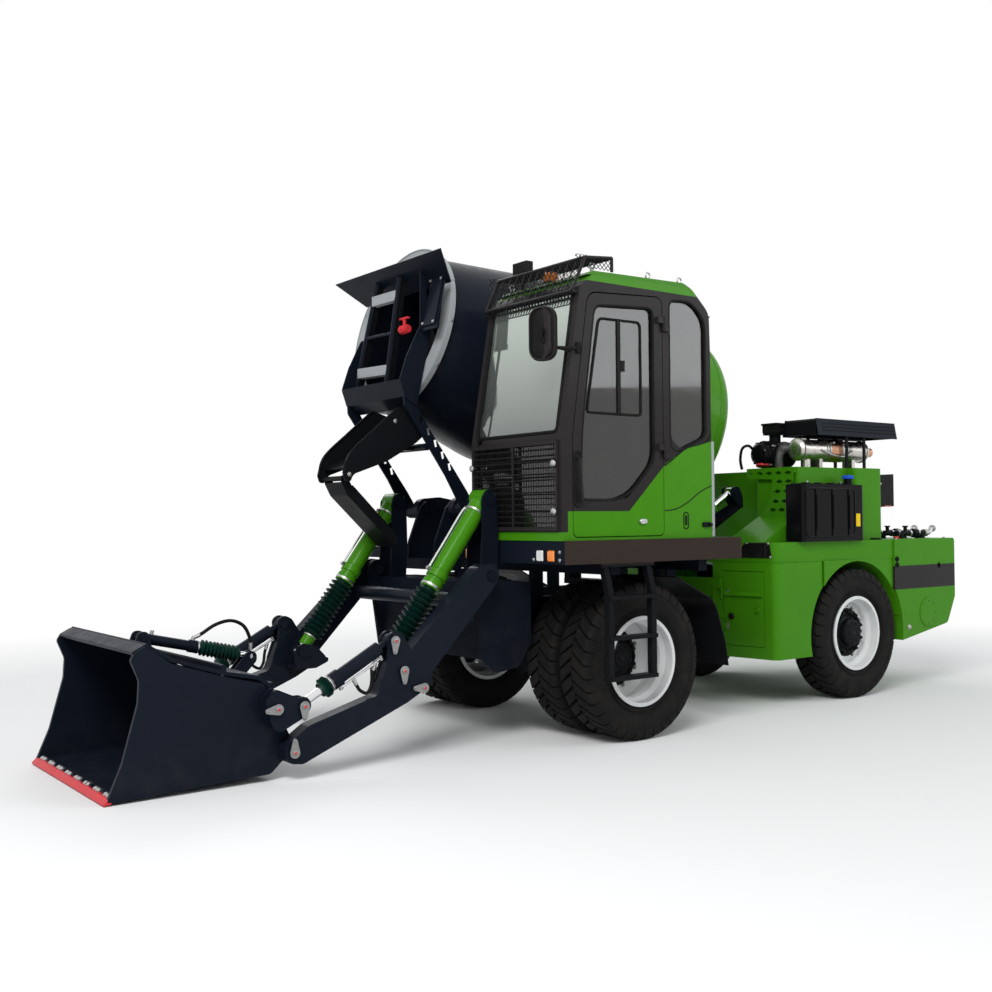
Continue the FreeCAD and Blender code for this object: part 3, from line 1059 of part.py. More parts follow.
rear_pieces = []
arch_cut = bar((-WHEELBASE, 600, TYRE_RADIUS), (-WHEELBASE, 1300, TYRE_RADIUS), ARCH_RADIUS)
arch_skin = bar((-WHEELBASE, 600, TYRE_RADIUS), (-WHEELBASE, BODY_HALF + 15, TYRE_RADIUS),
                ARCH_RADIUS + 8).cut(arch_cut)
box_rear_x = -2180
toolbox = flat_plate([
    (-1530, 385, 8), (-1610, BODY_HALF, 60), (box_rear_x, BODY_HALF, 4), (box_rear_x, 385, 4),
], BODY_LOW_Z, 1125)
toolbox = toolbox.cut(flat_plate([
    (-1538, 393, 8), (-1618, BODY_HALF - 8, 54), (box_rear_x + 8, BODY_HALF - 8, 4),
    (box_rear_x + 8, 393, 4),
], BODY_LOW_Z + 8, 1117)).cut(arch_cut)
liner = arch_skin.common(block(box_rear_x, -1900, 590, BODY_HALF, BODY_LOW_Z, 1125))
toolbox = join([toolbox, liner])
TOOL_DOOR = (482, 860, 470, 1060)
left_box = toolbox.cut(block(-1700, -1400, *TOOL_DOOR))
for side in (1, -1):
    rear_pieces.append(rail(-3900, HINGE_X - 120, side * (RAIL_Y - 20), side))
# deck over the rear frame with its fenders
engine_well = block(-3010, -2540, -490, 490, 1100, 1300)
deck_half = flat_plate([(-1545, 0), (-1545, 385, 10), (-1625, BODY_HALF - 20, 70),
                        (-3100, BODY_HALF + 20, 4), (-3100, 0)],
                       1125, DECK_Z)
deck_room = flat_plate([(-1557, -2), (-1557, 377, 10), (-1637, BODY_HALF - 32, 60),
                        (-3090, BODY_HALF + 8, 4), (-3090, -2)],
                       1120, DECK_Z - 10)
fender = arch_skin.common(block(-3300, box_rear_x, 590, 990, 640, 1130))
fender_side = side_plate([
    (box_rear_x, 1130), (box_rear_x, 900), (-2300, 1000), (-2610, 1122), (-2900, 1045), (-3099, 880),
    (-3099, 1130),
], BODY_HALF + 5, BODY_HALF + 15).cut(arch_cut)
half_deck = join([deck_half.cut(deck_room).cut(engine_well), fender, fender_side])
rear_pieces.append(half_deck)
rear_pieces.append(mirrored(half_deck))
# hinge end of the rear frame
hinge_plate = block(HINGE_X - 150, HINGE_X - 120, -380, 380, RAIL_LOW_Z - 20, rail_top + 60)
for side in (1, -1):
    ys = sorted((side * 145, side * 385))
    hinge_plate = hinge_plate.cut(block(HINGE_X - 160, HINGE_X - 110, ys[0], ys[1], STEER_Z - 62,
                                        STEER_Z + 62))
    ys = sorted((side * 375, side * 470))
    hinge_plate = join([hinge_plate, block(HINGE_X - 150, HINGE_X - 120, ys[0], ys[1], rail_top - 2,
                                           rail_top + 60)])
rear_pieces.append(hinge_plate)
knuckle = flat_plate([(HINGE_X - 125, -135), (HINGE_X, -85, 60), (HINGE_X + 85, 0, 75), (HINGE_X, 85, 60),
                      (HINGE_X - 125, 135)],
                     RAIL_LOW_Z + 4, rail_top - 24)
knuckle = knuckle.cut(bar((HINGE_X, 0, 0), (HINGE_X, 0, 2000), HINGE_PIN_RADIUS + PIN_FIT))
rear_pieces.append(knuckle)
for x in (-2150, -3000, -3700):
    rear_pieces.append(block(x, x + 80, -400, 400, 720, 880))
for x, top in ((-1700, 1276), (-2080, 1276), (-3300, DECK_Z - 12 - FIT)):
    for side in (1, -1):
        ys = sorted((side * 300, side * 380))
        ys = sorted((side * 392, side * 470)) if x == -3300 else ys
        rear_pieces.append(block(x, x + 60, ys[0], ys[1], rail_top - 5, top))
        ys = sorted((side * 300, side * 470))
        rear_pieces.append(block(x, x + 60, ys[0], ys[1], rail_top - 5, rail_top + 30))
# steering cylinder foot
steer_foot = [(STEER_ANCHOR[0] - 75, 392), (STEER_ANCHOR[0] - 45, STEER_ANCHOR[1] - 40, 40),
              (STEER_ANCHOR[0] + 45, STEER_ANCHOR[1] - 40, 40), (STEER_ANCHOR[0] + 75, 392)]
for z in (STEER_Z - 62, STEER_Z + 44):
    rear_pieces.append(flat_plate(steer_foot, z, z + 18))
rear_pieces.append(bar((STEER_ANCHOR[0], STEER_ANCHOR[1], STEER_Z - 70),
                       (STEER_ANCHOR[0], STEER_ANCHOR[1], STEER_Z + 70), 20))
# toolbox door hinges on the inner edge of the opening
tool_edge = TOOL_DOOR[0]
tool_hinge_x = face_x(tool_edge) + 14
TOOL_HINGE_Z = (600, 860)
near_edge = tool_edge + 4
far_edge = TOOL_DOOR[1] - 4
door_parts = [flat_plate([
    (face_x(near_edge), near_edge), (face_x(far_edge), far_edge), (face_x(far_edge) - 8, far_edge),
    (face_x(near_edge) - 8, near_edge),
], TOOL_DOOR[2] + 4, TOOL_DOOR[3] - 4)]
box_hinges = []
for z in TOOL_HINGE_Z:
    box_hinges.append(bar((tool_hinge_x, tool_edge + 2, z - 20), (tool_hinge_x, tool_edge + 2, z + 70), 5))
    for z1, z2 in ((z - 20, z - FIT), (z + 50 + FIT, z + 70)):
        box_hinges.append(bar((tool_hinge_x, tool_edge + 2, z1), (tool_hinge_x, tool_edge + 2, z2), 10))
        box_hinges.append(block(tool_hinge_x - 20, tool_hinge_x - 2, tool_edge - 26, tool_edge - 2, z1, z2))
        box_hinges.append(block(tool_hinge_x - 8, tool_hinge_x + 8, tool_edge - 20, tool_edge + 2, z1, z2))
    sleeve = join([
        bar((tool_hinge_x, tool_edge + 2, z), (tool_hinge_x, tool_edge + 2, z + 50), 10),
        block(tool_hinge_x - 8, tool_hinge_x + 8, tool_edge + 2, tool_edge + 24, z + 2, z + 48),
        block(tool_hinge_x - 22, tool_hinge_x + 4, tool_edge + 14, tool_edge + 36, z + 2, z + 48),
    ]).cut(bar((tool_hinge_x, tool_edge + 2, z - 30), (tool_hinge_x, tool_edge + 2, z + 90), 5 + FIT))
    door_parts.append(sleeve)
door_parts.append(bar((face_x(800) - 2, 800, 760), (face_x(800) + 22, 800, 760), 20))
tool_door = join(door_parts)
rear_frame = join(rear_pieces)
rear_body = [rear_frame, join([left_box] + box_hinges).cut(rear_frame), mirrored(toolbox).cut(rear_frame)]

# rear counterweight
WEIGHT_FRONT = -3100 - FIT
weight_points = [
    (WEIGHT_FRONT, 470, 10), (WEIGHT_FRONT, DECK_Z, 4), (REAR_END_X, DECK_Z, 30), (REAR_END_X, 770, 60),
    (-3880, 540, 60),
    (-3200, 430, 10),
]
wheel_room = bar((-WHEELBASE, 400, TYRE_RADIUS), (-WHEELBASE, 1300, TYRE_RADIUS), ARCH_RADIUS + 8 + FIT)
weight_half = side_plate(weight_points, 470 + FIT, BODY_HALF + 35).cut(wheel_room)
core_front = -3900 - FIT
core_low_z = 770 - 230 * (core_front - REAR_END_X) / (-3880 - REAR_END_X)
weight_core = side_plate([(core_front, core_low_z), (core_front, DECK_Z), (REAR_END_X, DECK_Z, 30),
                          (REAR_END_X, 770, 60)],
                         -480, 480)
weight_top = side_plate([(-3905, DECK_Z - 12), (-3905, DECK_Z), (WEIGHT_FRONT, DECK_Z),
                         (WEIGHT_FRONT, DECK_Z - 12)], -480, 480)
counterweight = join([weight_half, mirrored(weight_half), weight_core, weight_top])
tow_hole = bar((-3756, 940, 1049), (-3756, 1010, 1049), 26)
counterweight = counterweight.cut(tow_hole).cut(mirrored(tow_hole))

# engine hood: hollow cover with a stepped front, sloping foot and the pierced plate
HOOD_LOW_Z = DECK_Z + FIT
SKIN = 12


def hood_outline(inset, z1, z2):
    left_front = TANK_INNER_Y - FIT - inset
    return flat_plate([
        (HOOD_FRONT_X - inset, -HOOD_HALF + inset, 40), (HOOD_FRONT_X - inset, POD_INNER_Y + inset),
        (POD_FRONT_X - inset, POD_INNER_Y + inset, 20), (POD_FRONT_X - inset, left_front, 20),
        (-2700 - inset, left_front), (-2700 - inset, HOOD_HALF - inset, 30),
        (HOOD_REAR_X + inset, HOOD_HALF - inset, 40),
        (HOOD_REAR_X + inset, -HOOD_HALF + inset, 40),
    ], z1, z2)


hood_top = hood_outline(0, HOOD_LOW_Z, HOOD_TOP_Z).cut(hood_outline(SKIN, HOOD_LOW_Z - 5, HOOD_TOP_Z - SKIN))
slope = side_plate([(POD_FRONT_X - 2, HOOD_LOW_Z), (-1640, HOOD_LOW_Z), (-1720, 1330, 40),
                    (POD_FRONT_X - 2, 1500)], 440, 822)
slope = slope.cut(side_plate([(POD_FRONT_X - 20, 1280), (-1665, 1280), (-1725, 1318, 40),
                              (POD_FRONT_X - 20, 1488)], 452, 810))
pierced_x = POD_FRONT_X + 30
pierced = cross_plate([
    (470, 1470, 10), (760, 1475, 20), (822, HOOD_TOP_Z, 10), (POD_INNER_Y - 70, HOOD_TOP_Z, 10),
    (POD_INNER_Y - 70, 1800, 10), (600, 1790, 20), (560, 1620, 20),
], pierced_x, pierced_x + 6)
holes = []
for z, ys in ((1840, (372, 468, 564, 660, 756)), (1770, (670, 760)), (1690, (650, 740)), (1610, (630, 720)),
              (1540, (600, 690))):
    for y in ys:
        holes.append(cross_plate([(y - 36, z), (y, z - 18), (y + 36, z), (y, z + 18)], pierced_x - 10,
                                 pierced_x + 20))
pierced = pierced.cut(Part.makeCompound(holes))
pierced_legs = [block(POD_FRONT_X - 2, pierced_x + 1, y, y + 20, z, z + 20)
                for y, z in ((430, 1820), (790, 1840), (740, 1500), (500, 1490))]
engine_hood = join([hood_top, slope, pierced] + pierced_legs)
engine = join([block(-3000, -2560, -300, 300, 955, 1700), block(-2960, -2600, -470, 470, rail_top + FIT,
                                                                960)])

# hydraulic tank with ribs and cap
tank = flat_plate([(-1890, TANK_INNER_Y, 20), (-1890, TANK_OUTER_Y, 40), (-2680, TANK_OUTER_Y, 40),
                   (-2680, TANK_INNER_Y, 20)],
                  DECK_Z + FIT, 1740)
ribs = []
for x in (-2060, -2270, -2480):
    ribs.append(side_plate([(x - 22, 1320, 20), (x + 22, 1320, 20), (x + 22, 1710, 20), (x - 22, 1710, 20)],
                           TANK_OUTER_Y - 5, TANK_OUTER_Y + 8))
cap = bar((-2570, 930, 1735), (-2570, 930, 1790), 34)
hydraulic_tank = join([tank, cap] + ribs)

# exhaust silencer on brackets
silencer_parts = [
    bar((-2290, 640, 2040), (-3150, 640, 2040), 88), bar((-3140, 640, 2040), (-3230, 640, 2050), 38),
    bar((-2400, 640, 2040), (-2400, 640, HOOD_TOP_Z + FIT), 40),
]
for x in (-2560, -3000):
    silencer_parts.append(block(x, x + 40, 590, 690, HOOD_TOP_Z + FIT, 1975))
silencer = join(silencer_parts)

# air cleaner, heat shield, rear lamps and pipe ends on the hood and deck
top = HOOD_TOP_Z + FIT
shield_outer = side_plate([(-2320, 2155), (-2320, 2290, 30), (-3400, 2290, 30), (-3400, 2155)], 500, 810)
shield_inner = side_plate([(-2330, 2145), (-2330, 2282, 22), (-3390, 2282, 22), (-3390, 2145)], 508, 802)
shield = join([shield_outer.cut(shield_inner)] + [block(x, x + 30, 502, 516, top, 2285)
                                                  for x in (-2620, -2990)]
              + [block(x, x + 30, 796, 808, top, 2285) for x in (-2750, -2990)])
cleaner = join([
    bar((-2180, 380, 2010), (-2480, 380, 2010), 112), bar((-2130, 380, 2010), (-2180, 380, 2010), 95),
    bar((-2330, 380, 2010), (-2330, 380, 2180), 48), block(-2400, -2260, 310, 450, 2175, 2270),
    block(-2440, -2400, 400, 440, top, 1935), block(-2250, -2210, 400, 440, top, 1935),
])
lamp = block(HOOD_REAR_X - FIT - 70, HOOD_REAR_X - FIT, 700, 850, 1560, 1780)
fittings = [shield, cleaner, lamp, mirrored(lamp)]
floor_z = DECK_Z + FIT
for y in (800, 620):
    fittings.append(join([
        bar((-3420, y, 1330), (-3880, y, 1330), 24), block(-3480, -3440, y - 40, y + 40, floor_z, 1345),
        block(-3800, -3760, y - 40, y + 40, floor_z, 1345), bar((-3560, y, 1330), (-3560, y, 1385), 16),
    ]))


# steering cylinder, lying flat on the left
def flat_bar(start, end, radius):
    return bar((start[0], start[1], STEER_Z), (end[0], end[1], STEER_Z), radius)


def flat_eye(point, radius, height):
    return bar((point[0], point[1], STEER_Z - height / 2), (point[0], point[1], STEER_Z + height / 2),
               radius)


STEER_BARREL = 440
steer_body = join([flat_bar(point_at(STEER_ANCHOR, STEER_EYE, 24),
                            point_at(STEER_ANCHOR, STEER_EYE, STEER_BARREL), 36),
                   flat_eye(STEER_ANCHOR, 34, 60)])
steer_body = steer_body.cut(flat_bar(point_at(STEER_ANCHOR, STEER_EYE, 60),
                                     point_at(STEER_ANCHOR, STEER_EYE, STEER_BARREL + 5), 20 + PIN_FIT))
steer_body = steer_body.cut(flat_eye(STEER_ANCHOR, 20 + PIN_FIT, 90))
steer_rod = join([flat_bar(point_at(STEER_ANCHOR, STEER_EYE, 252), point_at(STEER_EYE, STEER_ANCHOR, 14),
                           20),
                  flat_eye(STEER_EYE, 32, 52)])

# ---------------------------------------------------------------- write the pieces
os.makedirs("parts", exist_ok=True)
save("front_chassis", [front_chassis])
save("front_axle", [front_axle])
save("cab_platform", [platform, right_deck, steps])
save("mudguards", mudguards)
save("cab_shell", cab_shell)
save("cab_frame", frame_pieces)
save("cab_glass", glass)
save("cab_interior", cab_interior)
save("cab_door", [cab_door])
save("door_glass", [door_glass])
save("loader_arms", [loader_arms])
save("loader_bucket", [loader_bucket])
save("cutting_edge", [cutting_edge])
save("bucket_gate", [bucket_gate])
save("lift_barrels", pair(lift_barrel))
save("lift_rods", pair(lift_rod))
save("lift_bellows", pair(lift_cover))
save("tilt_barrels", pair(tilt_barrel))
save("tilt_rods", pair(tilt_rod))
save("gate_barrel", [gate_barrel])
save("gate_rod", [gate_rod])
save("mixing_drum", [mixing_drum])
save("drum_cradle", [drum_cradle])
save("loading_hopper", [loading_hopper])
save("main_chute", [main_chute])
save("chute_extension", [chute_extension])
save("drum_lift_barrel", [drum_lift_barrel])
save("drum_lift_rod", [drum_lift_rod])
save("rear_body", rear_body)
save("rear_axle", [rear_axle])
save("counterweight", [counterweight])
save("engine_hood", [engine_hood])
save("engine_block", [engine])
save("hydraulic_tank", [hydraulic_tank])
save("exhaust_silencer", [silencer])
save("hood_fittings", fittings)
save("toolbox_door", [tool_door])
save("steer_barrel", [steer_body])
save("steer_rod", [steer_rod])
save("front_left_tyres", front_tyres)
save("front_left_rims", front_rims)
save("front_right_tyres", [mirrored(t) for t in front_tyres])
save("front_right_rims", [mirrored(r) for r in front_rims])
save("rear_left_tyre", rear_tyres)
save("rear_left_rim", rear_rims)
save("rear_right_tyre", [mirrored(t) for t in rear_tyres])
save("rear_right_rim", [mirrored(r) for r in rear_rims])
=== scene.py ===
import json
import math
import random

import bmesh
import bpy
from mathutils import Matrix, Vector


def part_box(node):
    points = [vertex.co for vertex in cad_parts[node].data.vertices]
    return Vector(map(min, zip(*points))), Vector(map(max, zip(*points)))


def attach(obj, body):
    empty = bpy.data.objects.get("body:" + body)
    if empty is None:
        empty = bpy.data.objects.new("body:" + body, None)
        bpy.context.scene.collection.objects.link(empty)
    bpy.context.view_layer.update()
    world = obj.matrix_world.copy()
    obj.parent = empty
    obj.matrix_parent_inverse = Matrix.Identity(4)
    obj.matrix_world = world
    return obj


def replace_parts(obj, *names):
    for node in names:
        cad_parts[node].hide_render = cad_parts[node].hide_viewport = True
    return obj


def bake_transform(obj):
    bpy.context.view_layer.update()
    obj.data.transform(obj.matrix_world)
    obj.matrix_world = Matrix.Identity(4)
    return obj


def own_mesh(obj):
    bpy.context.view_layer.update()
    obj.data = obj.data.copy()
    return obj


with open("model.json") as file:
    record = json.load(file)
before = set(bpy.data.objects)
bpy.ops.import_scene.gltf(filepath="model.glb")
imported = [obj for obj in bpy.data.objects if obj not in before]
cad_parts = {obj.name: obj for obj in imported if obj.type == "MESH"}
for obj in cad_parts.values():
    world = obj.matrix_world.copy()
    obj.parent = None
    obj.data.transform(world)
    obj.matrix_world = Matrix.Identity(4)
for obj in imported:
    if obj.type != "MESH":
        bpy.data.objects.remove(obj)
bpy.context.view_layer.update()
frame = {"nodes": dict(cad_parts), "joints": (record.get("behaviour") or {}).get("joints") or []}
random.seed(11)

FORWARDS = Vector((1, 0, 0))
LEFT = Vector((0, 1, 0))
UP = Vector((0, 0, 1))
GROUND = Vector((0, 0, 0))
FULL_TURN = 2 * math.pi
CORNERS = ("front_left", "front_right", "rear_left", "rear_right")

# ---------------------------------------------------------------- where things are

JOINTS = {joint["name"]: joint for joint in frame["joints"]}


def middle(node):
    low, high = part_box(node)
    return (low + high) / 2


# driving points, all read from the frame: the front axle's middle on the ground is the origin of the drawing
AXLE_X = middle("front_left_tyres").x
MID_Y = (middle("front_left_tyres").y + middle("front_right_tyres").y) / 2
TYRE_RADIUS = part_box("front_left_tyres")[1].z / 2
TYRE_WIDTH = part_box("rear_left_tyre")[1].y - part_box("rear_left_tyre")[0].y


def at(x, y, z):
    """A point given in millimetres from the front axle's middle on the ground."""
    return Vector((AXLE_X + x / 1000, MID_Y + y / 1000, z / 1000))


def side_points(y, *places):
    """Points given by X and Z, all at one Y."""
    return [at(x, y, z) for x, z in places]


def joint_place(name):
    return Vector(JOINTS[name]["pos_m"])


# ---------------------------------------------------------------- materials

class Graph:
    """A small wrapper round a material's node tree."""

    def __init__(self, name):
        self.material = bpy.data.materials.new(name)
        self.material.use_nodes = True
        self.nodes = self.material.node_tree.nodes
        self.links = self.material.node_tree.links
        self.shader = self.nodes["Principled BSDF"]
        self.place = self.add("ShaderNodeTexCoord").outputs["Object"]

    def add(self, kind, values=None, **settings):
        """A new node with its settings, and its inputs by name or number."""
        node = self.nodes.new(kind)
        for key, value in settings.items():
            setattr(node, key, value)
        for key, value in (values or {}).items():
            self.feed(node.inputs[key], value)
        return node

    def feed(self, socket, value):
        """Gives a socket a number, a vector or a colour, or links it to another socket."""
        if isinstance(value, (int, float, Vector)):
            socket.default_value = value
        elif isinstance(value, tuple):
            socket.default_value = (*value, 1.0)
        else:
            self.links.new(value, socket)

    def noise(self, scale, detail=4.0, roughness=0.55, stretch=None):
        node = self.add("ShaderNodeTexNoise", {"Scale": scale, "Detail": detail, "Roughness": roughness})
        source = self.place
        if stretch:
            source = self.add("ShaderNodeMapping", {"Scale": stretch, "Vector": source}).outputs["Vector"]
        self.feed(node.inputs["Vector"], source)
        return node.outputs["Fac"]

    def spread(self, source, low, high, out_low=0.0, out_high=1.0):
        return self.add("ShaderNodeMapRange", {"From Min": low, "From Max": high, "To Min": out_low,
                                               "To Max": out_high, "Value": source}).outputs["Result"]

    def maths(self, kind, a, b):
        return self.add("ShaderNodeMath", {0: a, 1: b}, operation=kind).outputs["Value"]

    def mix(self, factor, first, second):
        node = self.add("ShaderNodeMix", {"Factor": factor}, data_type="RGBA")
        for socket, value in zip([s for s in node.inputs if s.type == "RGBA"], (first, second)):
            self.feed(socket, value)
        return [s for s in node.outputs if s.type == "RGBA"][0]

    def axis(self, letter):
        return self.add("ShaderNodeSeparateXYZ", {"Vector": self.place}).outputs[letter]

    def vectors(self, kind, *values):
        return self.add("ShaderNodeVectorMath", dict(enumerate(values)), operation=kind)

    def measured(self, kind, origin, direction):
        """Starts a measure from a line: the product of the way from its origin with its direction."""
        way = self.vectors("SUBTRACT", self.place, origin).outputs["Vector"]
        return self.vectors(kind, way, direction)

    def along(self, origin, direction):
        """Distance of a point along a line, in metres."""
        return self.measured("DOT_PRODUCT", origin, direction).outputs["Value"]

    def away(self, origin, direction):
        """Distance of a point from a line, in metres."""
        cross = self.measured("CROSS_PRODUCT", origin, direction).outputs["Vector"]
        return self.vectors("LENGTH", cross).outputs["Value"]

    def bump(self, height, strength, distance, soften=0.0):
        node = self.add("ShaderNodeBump", {"Strength": strength, "Distance": distance, "Height": height})
        if soften:
            bevel = self.add("ShaderNodeBevel", {"Radius": soften}, samples=2)
            self.feed(node.inputs["Normal"], bevel.outputs["Normal"])
        self.set(Normal=node.outputs["Normal"])

    def set(self, **values):
        """Feeds the shader's own inputs."""
        for key, value in values.items():
            self.feed(self.shader.inputs[key.replace("_", " ")], value)


DUST = (0.23, 0.19, 0.14)
DRAWN_OUT = Vector((1, 1, 12))
ENAMEL_EDGE = 0.003
METAL_EDGE = 0.0015
EVERYWHERE = 10.0


def shade(colour, factor):
    return tuple(min(1.0, c * factor) for c in colour)


def paint(name, colour, rough=0.3, dust=0.04, dust_top=0.9, coat=0.08, spec=0.06, zones=()):
    """Enamel over sheet steel: faint mottling, orange peel, dust that thins upwards, and coloured zones.

    Each zone is (origin, direction, low, high, colour): the stretch along a line that has another colour, a
    second paint or a painted shade.
    A sixth value keeps the zone within that distance of the line."""
    g = Graph(name)
    base = g.mix(g.noise(3.0, 6.0), shade(colour, 0.86), shade(colour, 1.1))
    for origin, direction, low, high, other, *within in zones:
        reach = g.along(origin, direction)
        inside = g.maths("MULTIPLY", g.maths("GREATER_THAN", reach, low), g.maths("LESS_THAN", reach, high))
        if within:
            inside = g.maths("MULTIPLY", inside, g.maths("LESS_THAN", g.away(origin, direction), within[0]))
        base = g.mix(inside, base, g.mix(g.noise(4.0, 5.0), shade(other, 0.85), shade(other, 1.12)))
    low_part = g.spread(g.axis("Z"), dust_top, 0.15, 0.0, 1.0)
    patches = g.spread(g.noise(9.0, 9.0, 0.65), 0.42, 0.72)
    dusty = g.maths("MULTIPLY", g.maths("MULTIPLY", low_part, patches), dust)
    g.set(Base_Color=g.mix(dusty, base, DUST))
    g.set(Roughness=g.maths("ADD", g.maths("MULTIPLY", dusty, 0.4),
                    g.spread(g.noise(14.0, 6.0), 0.3, 0.7, rough * 0.8, rough * 1.25)))
    g.set(Coat_Weight=coat, Coat_Roughness=0.12, Specular_IOR_Level=spec)
    g.bump(g.noise(160.0, 2.0), 0.05, 0.0004, ENAMEL_EDGE)
    return g.material


def metal(name, colour, rough=0.3, soil=0.3, soil_colour=(0.10, 0.06, 0.035)):
    """Bare metal drawn out along Z, with stains."""
    g = Graph(name)
    stains = g.spread(g.noise(12.0, 8.0, 0.65), 0.5, 0.75, 0.0, soil)
    drawn = g.mix(g.noise(20.0, 4.0, 0.5, DRAWN_OUT), shade(colour, 0.82), shade(colour, 1.08))
    g.set(Base_Color=g.mix(stains, drawn, soil_colour))
    g.set(Roughness=g.maths("ADD", stains, g.spread(g.noise(60.0, 4.0, 0.5, DRAWN_OUT), 0.3, 0.7,
                                                    rough * 0.7,
                                            rough * 1.3)))
    g.set(Metallic=1.0)
    g.bump(g.noise(90.0, 4.0, 0.5, DRAWN_OUT), 0.15, 0.0005, METAL_EDGE)
    return g.material


def plain_soft(name, colour, rough=0.6, grain=120.0, depth=0.001, dust=0.08, spec=0.08):
    """Rubber, grained plastic and cloth."""
    g = Graph(name)
    soil = g.spread(g.noise(8.0, 8.0, 0.62), 0.45, 0.78, 0.0, dust)
    g.set(Base_Color=g.mix(soil, g.mix(g.noise(26.0, 4.0), shade(colour, 0.8), shade(colour, 1.2)),
                   shade(DUST, 0.8)))
    g.set(Roughness=g.spread(g.noise(30.0, 4.0), 0.3, 0.7, rough * 0.85, min(1.0, rough * 1.15)))
    g.set(Specular_IOR_Level=spec)
    g.bump(g.noise(grain, 3.0), 0.35, depth)
    return g.material


def glass_pane(name, tint, alpha, painted_reflection_start, rough=0.03):
    """Tinted glass. From the given (origin, direction) onwards, above 2 m, a metallic sun coating carries a
    painted reflection: its colour goes from dark low down to pale higher up, standing for the bright air
    above mirrored in the screen.
    """
    g = Graph(name)
    g.set(Roughness=g.spread(g.noise(5.0, 6.0), 0.45, 0.8, rough, rough + 0.10))
    film_with_painted_reflection = g.maths("MULTIPLY", g.maths("GREATER_THAN", g.along(*painted_reflection_start), 0.0),
                   g.maths("GREATER_THAN", g.axis("Z"), 2.0))
    # painted reflection: from 2.05 m to 2.95 m the coating's colour goes from dark to pale, standing for the
    # bright air above mirrored in it
    painted_sky_reflection = g.mix(g.spread(g.axis("Z"), 2.05, 2.95), (0.20, 0.22, 0.21), (0.55, 0.62, 0.56))
    g.set(Base_Color=g.mix(film_with_painted_reflection, g.mix(g.noise(3.0), shade(tint, 0.8), shade(tint, 1.2)), painted_sky_reflection))
    g.set(Metallic=g.maths("MULTIPLY", film_with_painted_reflection, 0.75), Alpha=g.spread(film_with_painted_reflection, 0.0, 1.0, alpha, 0.9))
    g.set(IOR=1.5, Specular_IOR_Level=0.6, Coat_Weight=0.6, Coat_Roughness=0.02)
    g.material.surface_render_method = "BLENDED"
    return g.material


def lamp_lens(name, colour, glow=0.15):
    g = Graph(name)
    ribs = g.add("ShaderNodeTexWave", {"Scale": 45.0, "Vector": g.place}, wave_type="BANDS",
                 bands_direction="Y")
    g.set(Base_Color=g.mix(ribs.outputs["Fac"], shade(colour, 0.7), shade(colour, 1.15)))
    g.set(Roughness=0.12, Coat_Weight=1.0, Emission_Color=colour, Emission_Strength=glow)
    g.bump(ribs.outputs["Fac"], 0.5, 0.002)
    return g.material


GREEN = (0.050, 0.222, 0.005)
SLATE = (0.0065, 0.0095, 0.017)
BLACK = (0.007, 0.0075, 0.009)
WARM_GREY = (0.022, 0.0195, 0.020)
LIGHT_GREY = (0.34, 0.36, 0.37)
RED = (0.62, 0.035, 0.045)
RIM_WHITE = (0.70, 0.71, 0.71)
HUB_BLACK = (0.006, 0.006, 0.0065)
HUB_RADIUS = 0.199
SATIN = {"dust": 0.02, "coat": 0.05, "spec": 0.04}
MATT = {"coat": 0.0, "spec": 0.04}

drum_mouth = joint_place("drum_spin")
drum_back = -Vector(JOINTS["drum_spin"]["axis"]).normalized()

green = paint("green_enamel", GREEN)
slate = paint("slate_enamel", SLATE, 0.34, **SATIN)
frame_paint = paint("frame_enamel", shade(SLATE, 0.85), 0.5, dust=0.08, dust_top=1.0, **MATT)
grey = paint("grey_enamel", WARM_GREY, **SATIN)
black = paint("black_enamel", BLACK, 0.36, dust=0.02, coat=0.04, spec=0.03)
red = paint("red_enamel", RED, 0.35, dust=0.1)
edge_paint = paint("edge_enamel", SLATE, zones=((at(3388, 0, 0), FORWARDS, 0.0, EVERYWHERE, RED),))
# the drum's front is slate with a light grey ring at the mouth; within 0.5 m of the axis the mouth is
# painted shade, a darker slate where the opening lies in shadow
drum_paint = paint("drum_enamel", GREEN, dust=0.02, zones=(
    (drum_mouth, drum_back, -1.0, 1.50, SLATE), (drum_mouth, drum_back, -1.0, 0.047, LIGHT_GREY),
    (drum_mouth, drum_back, -1.0, 0.047, shade(SLATE, 0.6), 0.50)))
weight_paint = paint("counterweight_enamel", GREEN, dust=0.1, zones=((GROUND, UP, 0.86, 1.06, WARM_GREY),))
bucket_paint = paint("bucket_enamel", SLATE, 0.36, dust=0.03, dust_top=0.3, coat=0.05, spec=0.04)
door_paint = paint("door_enamel", WARM_GREY, **SATIN, zones=(
    (GROUND, UP, -EVERYWHERE, 1.530, GREEN),
    (at(215, 0, 1530), Vector((-0.683, 0, -0.731)), 0.0, EVERYWHERE, GREEN)))
platform_paint = paint("platform_enamel", (0.034, 0.024, 0.020), 0.45, **MATT, zones=(
    (at(784, 0, 0), FORWARDS, 0.0, EVERYWHERE, SLATE), (at(0, 0, 1190), -UP, 0.0, EVERYWHERE, BLACK)))
pale_plate = paint("pale_grey_enamel", LIGHT_GREY, 0.35, dust=0.08)
drum_dark = paint("drum_inside", (0.030, 0.030, 0.028), 0.7, dust=0.3, coat=0.0)
tank_plastic = paint("tank_gloss", (0.004, 0.004, 0.005), 0.16, dust=0.01, coat=0.1, spec=0.04)
nut_steel = paint("dark_nuts", (0.012, 0.012, 0.013), 0.4, coat=0.0)
yellow = paint("yellow_label", (0.80, 0.55, 0.01), 0.4, dust=0.1)
blue = paint("blue_cap", (0.02, 0.10, 0.55), 0.35, dust=0.1)
rubber = plain_soft("dark_rubber", (0.008, 0.008, 0.0085), 0.5, dust=0.04, spec=0.05)
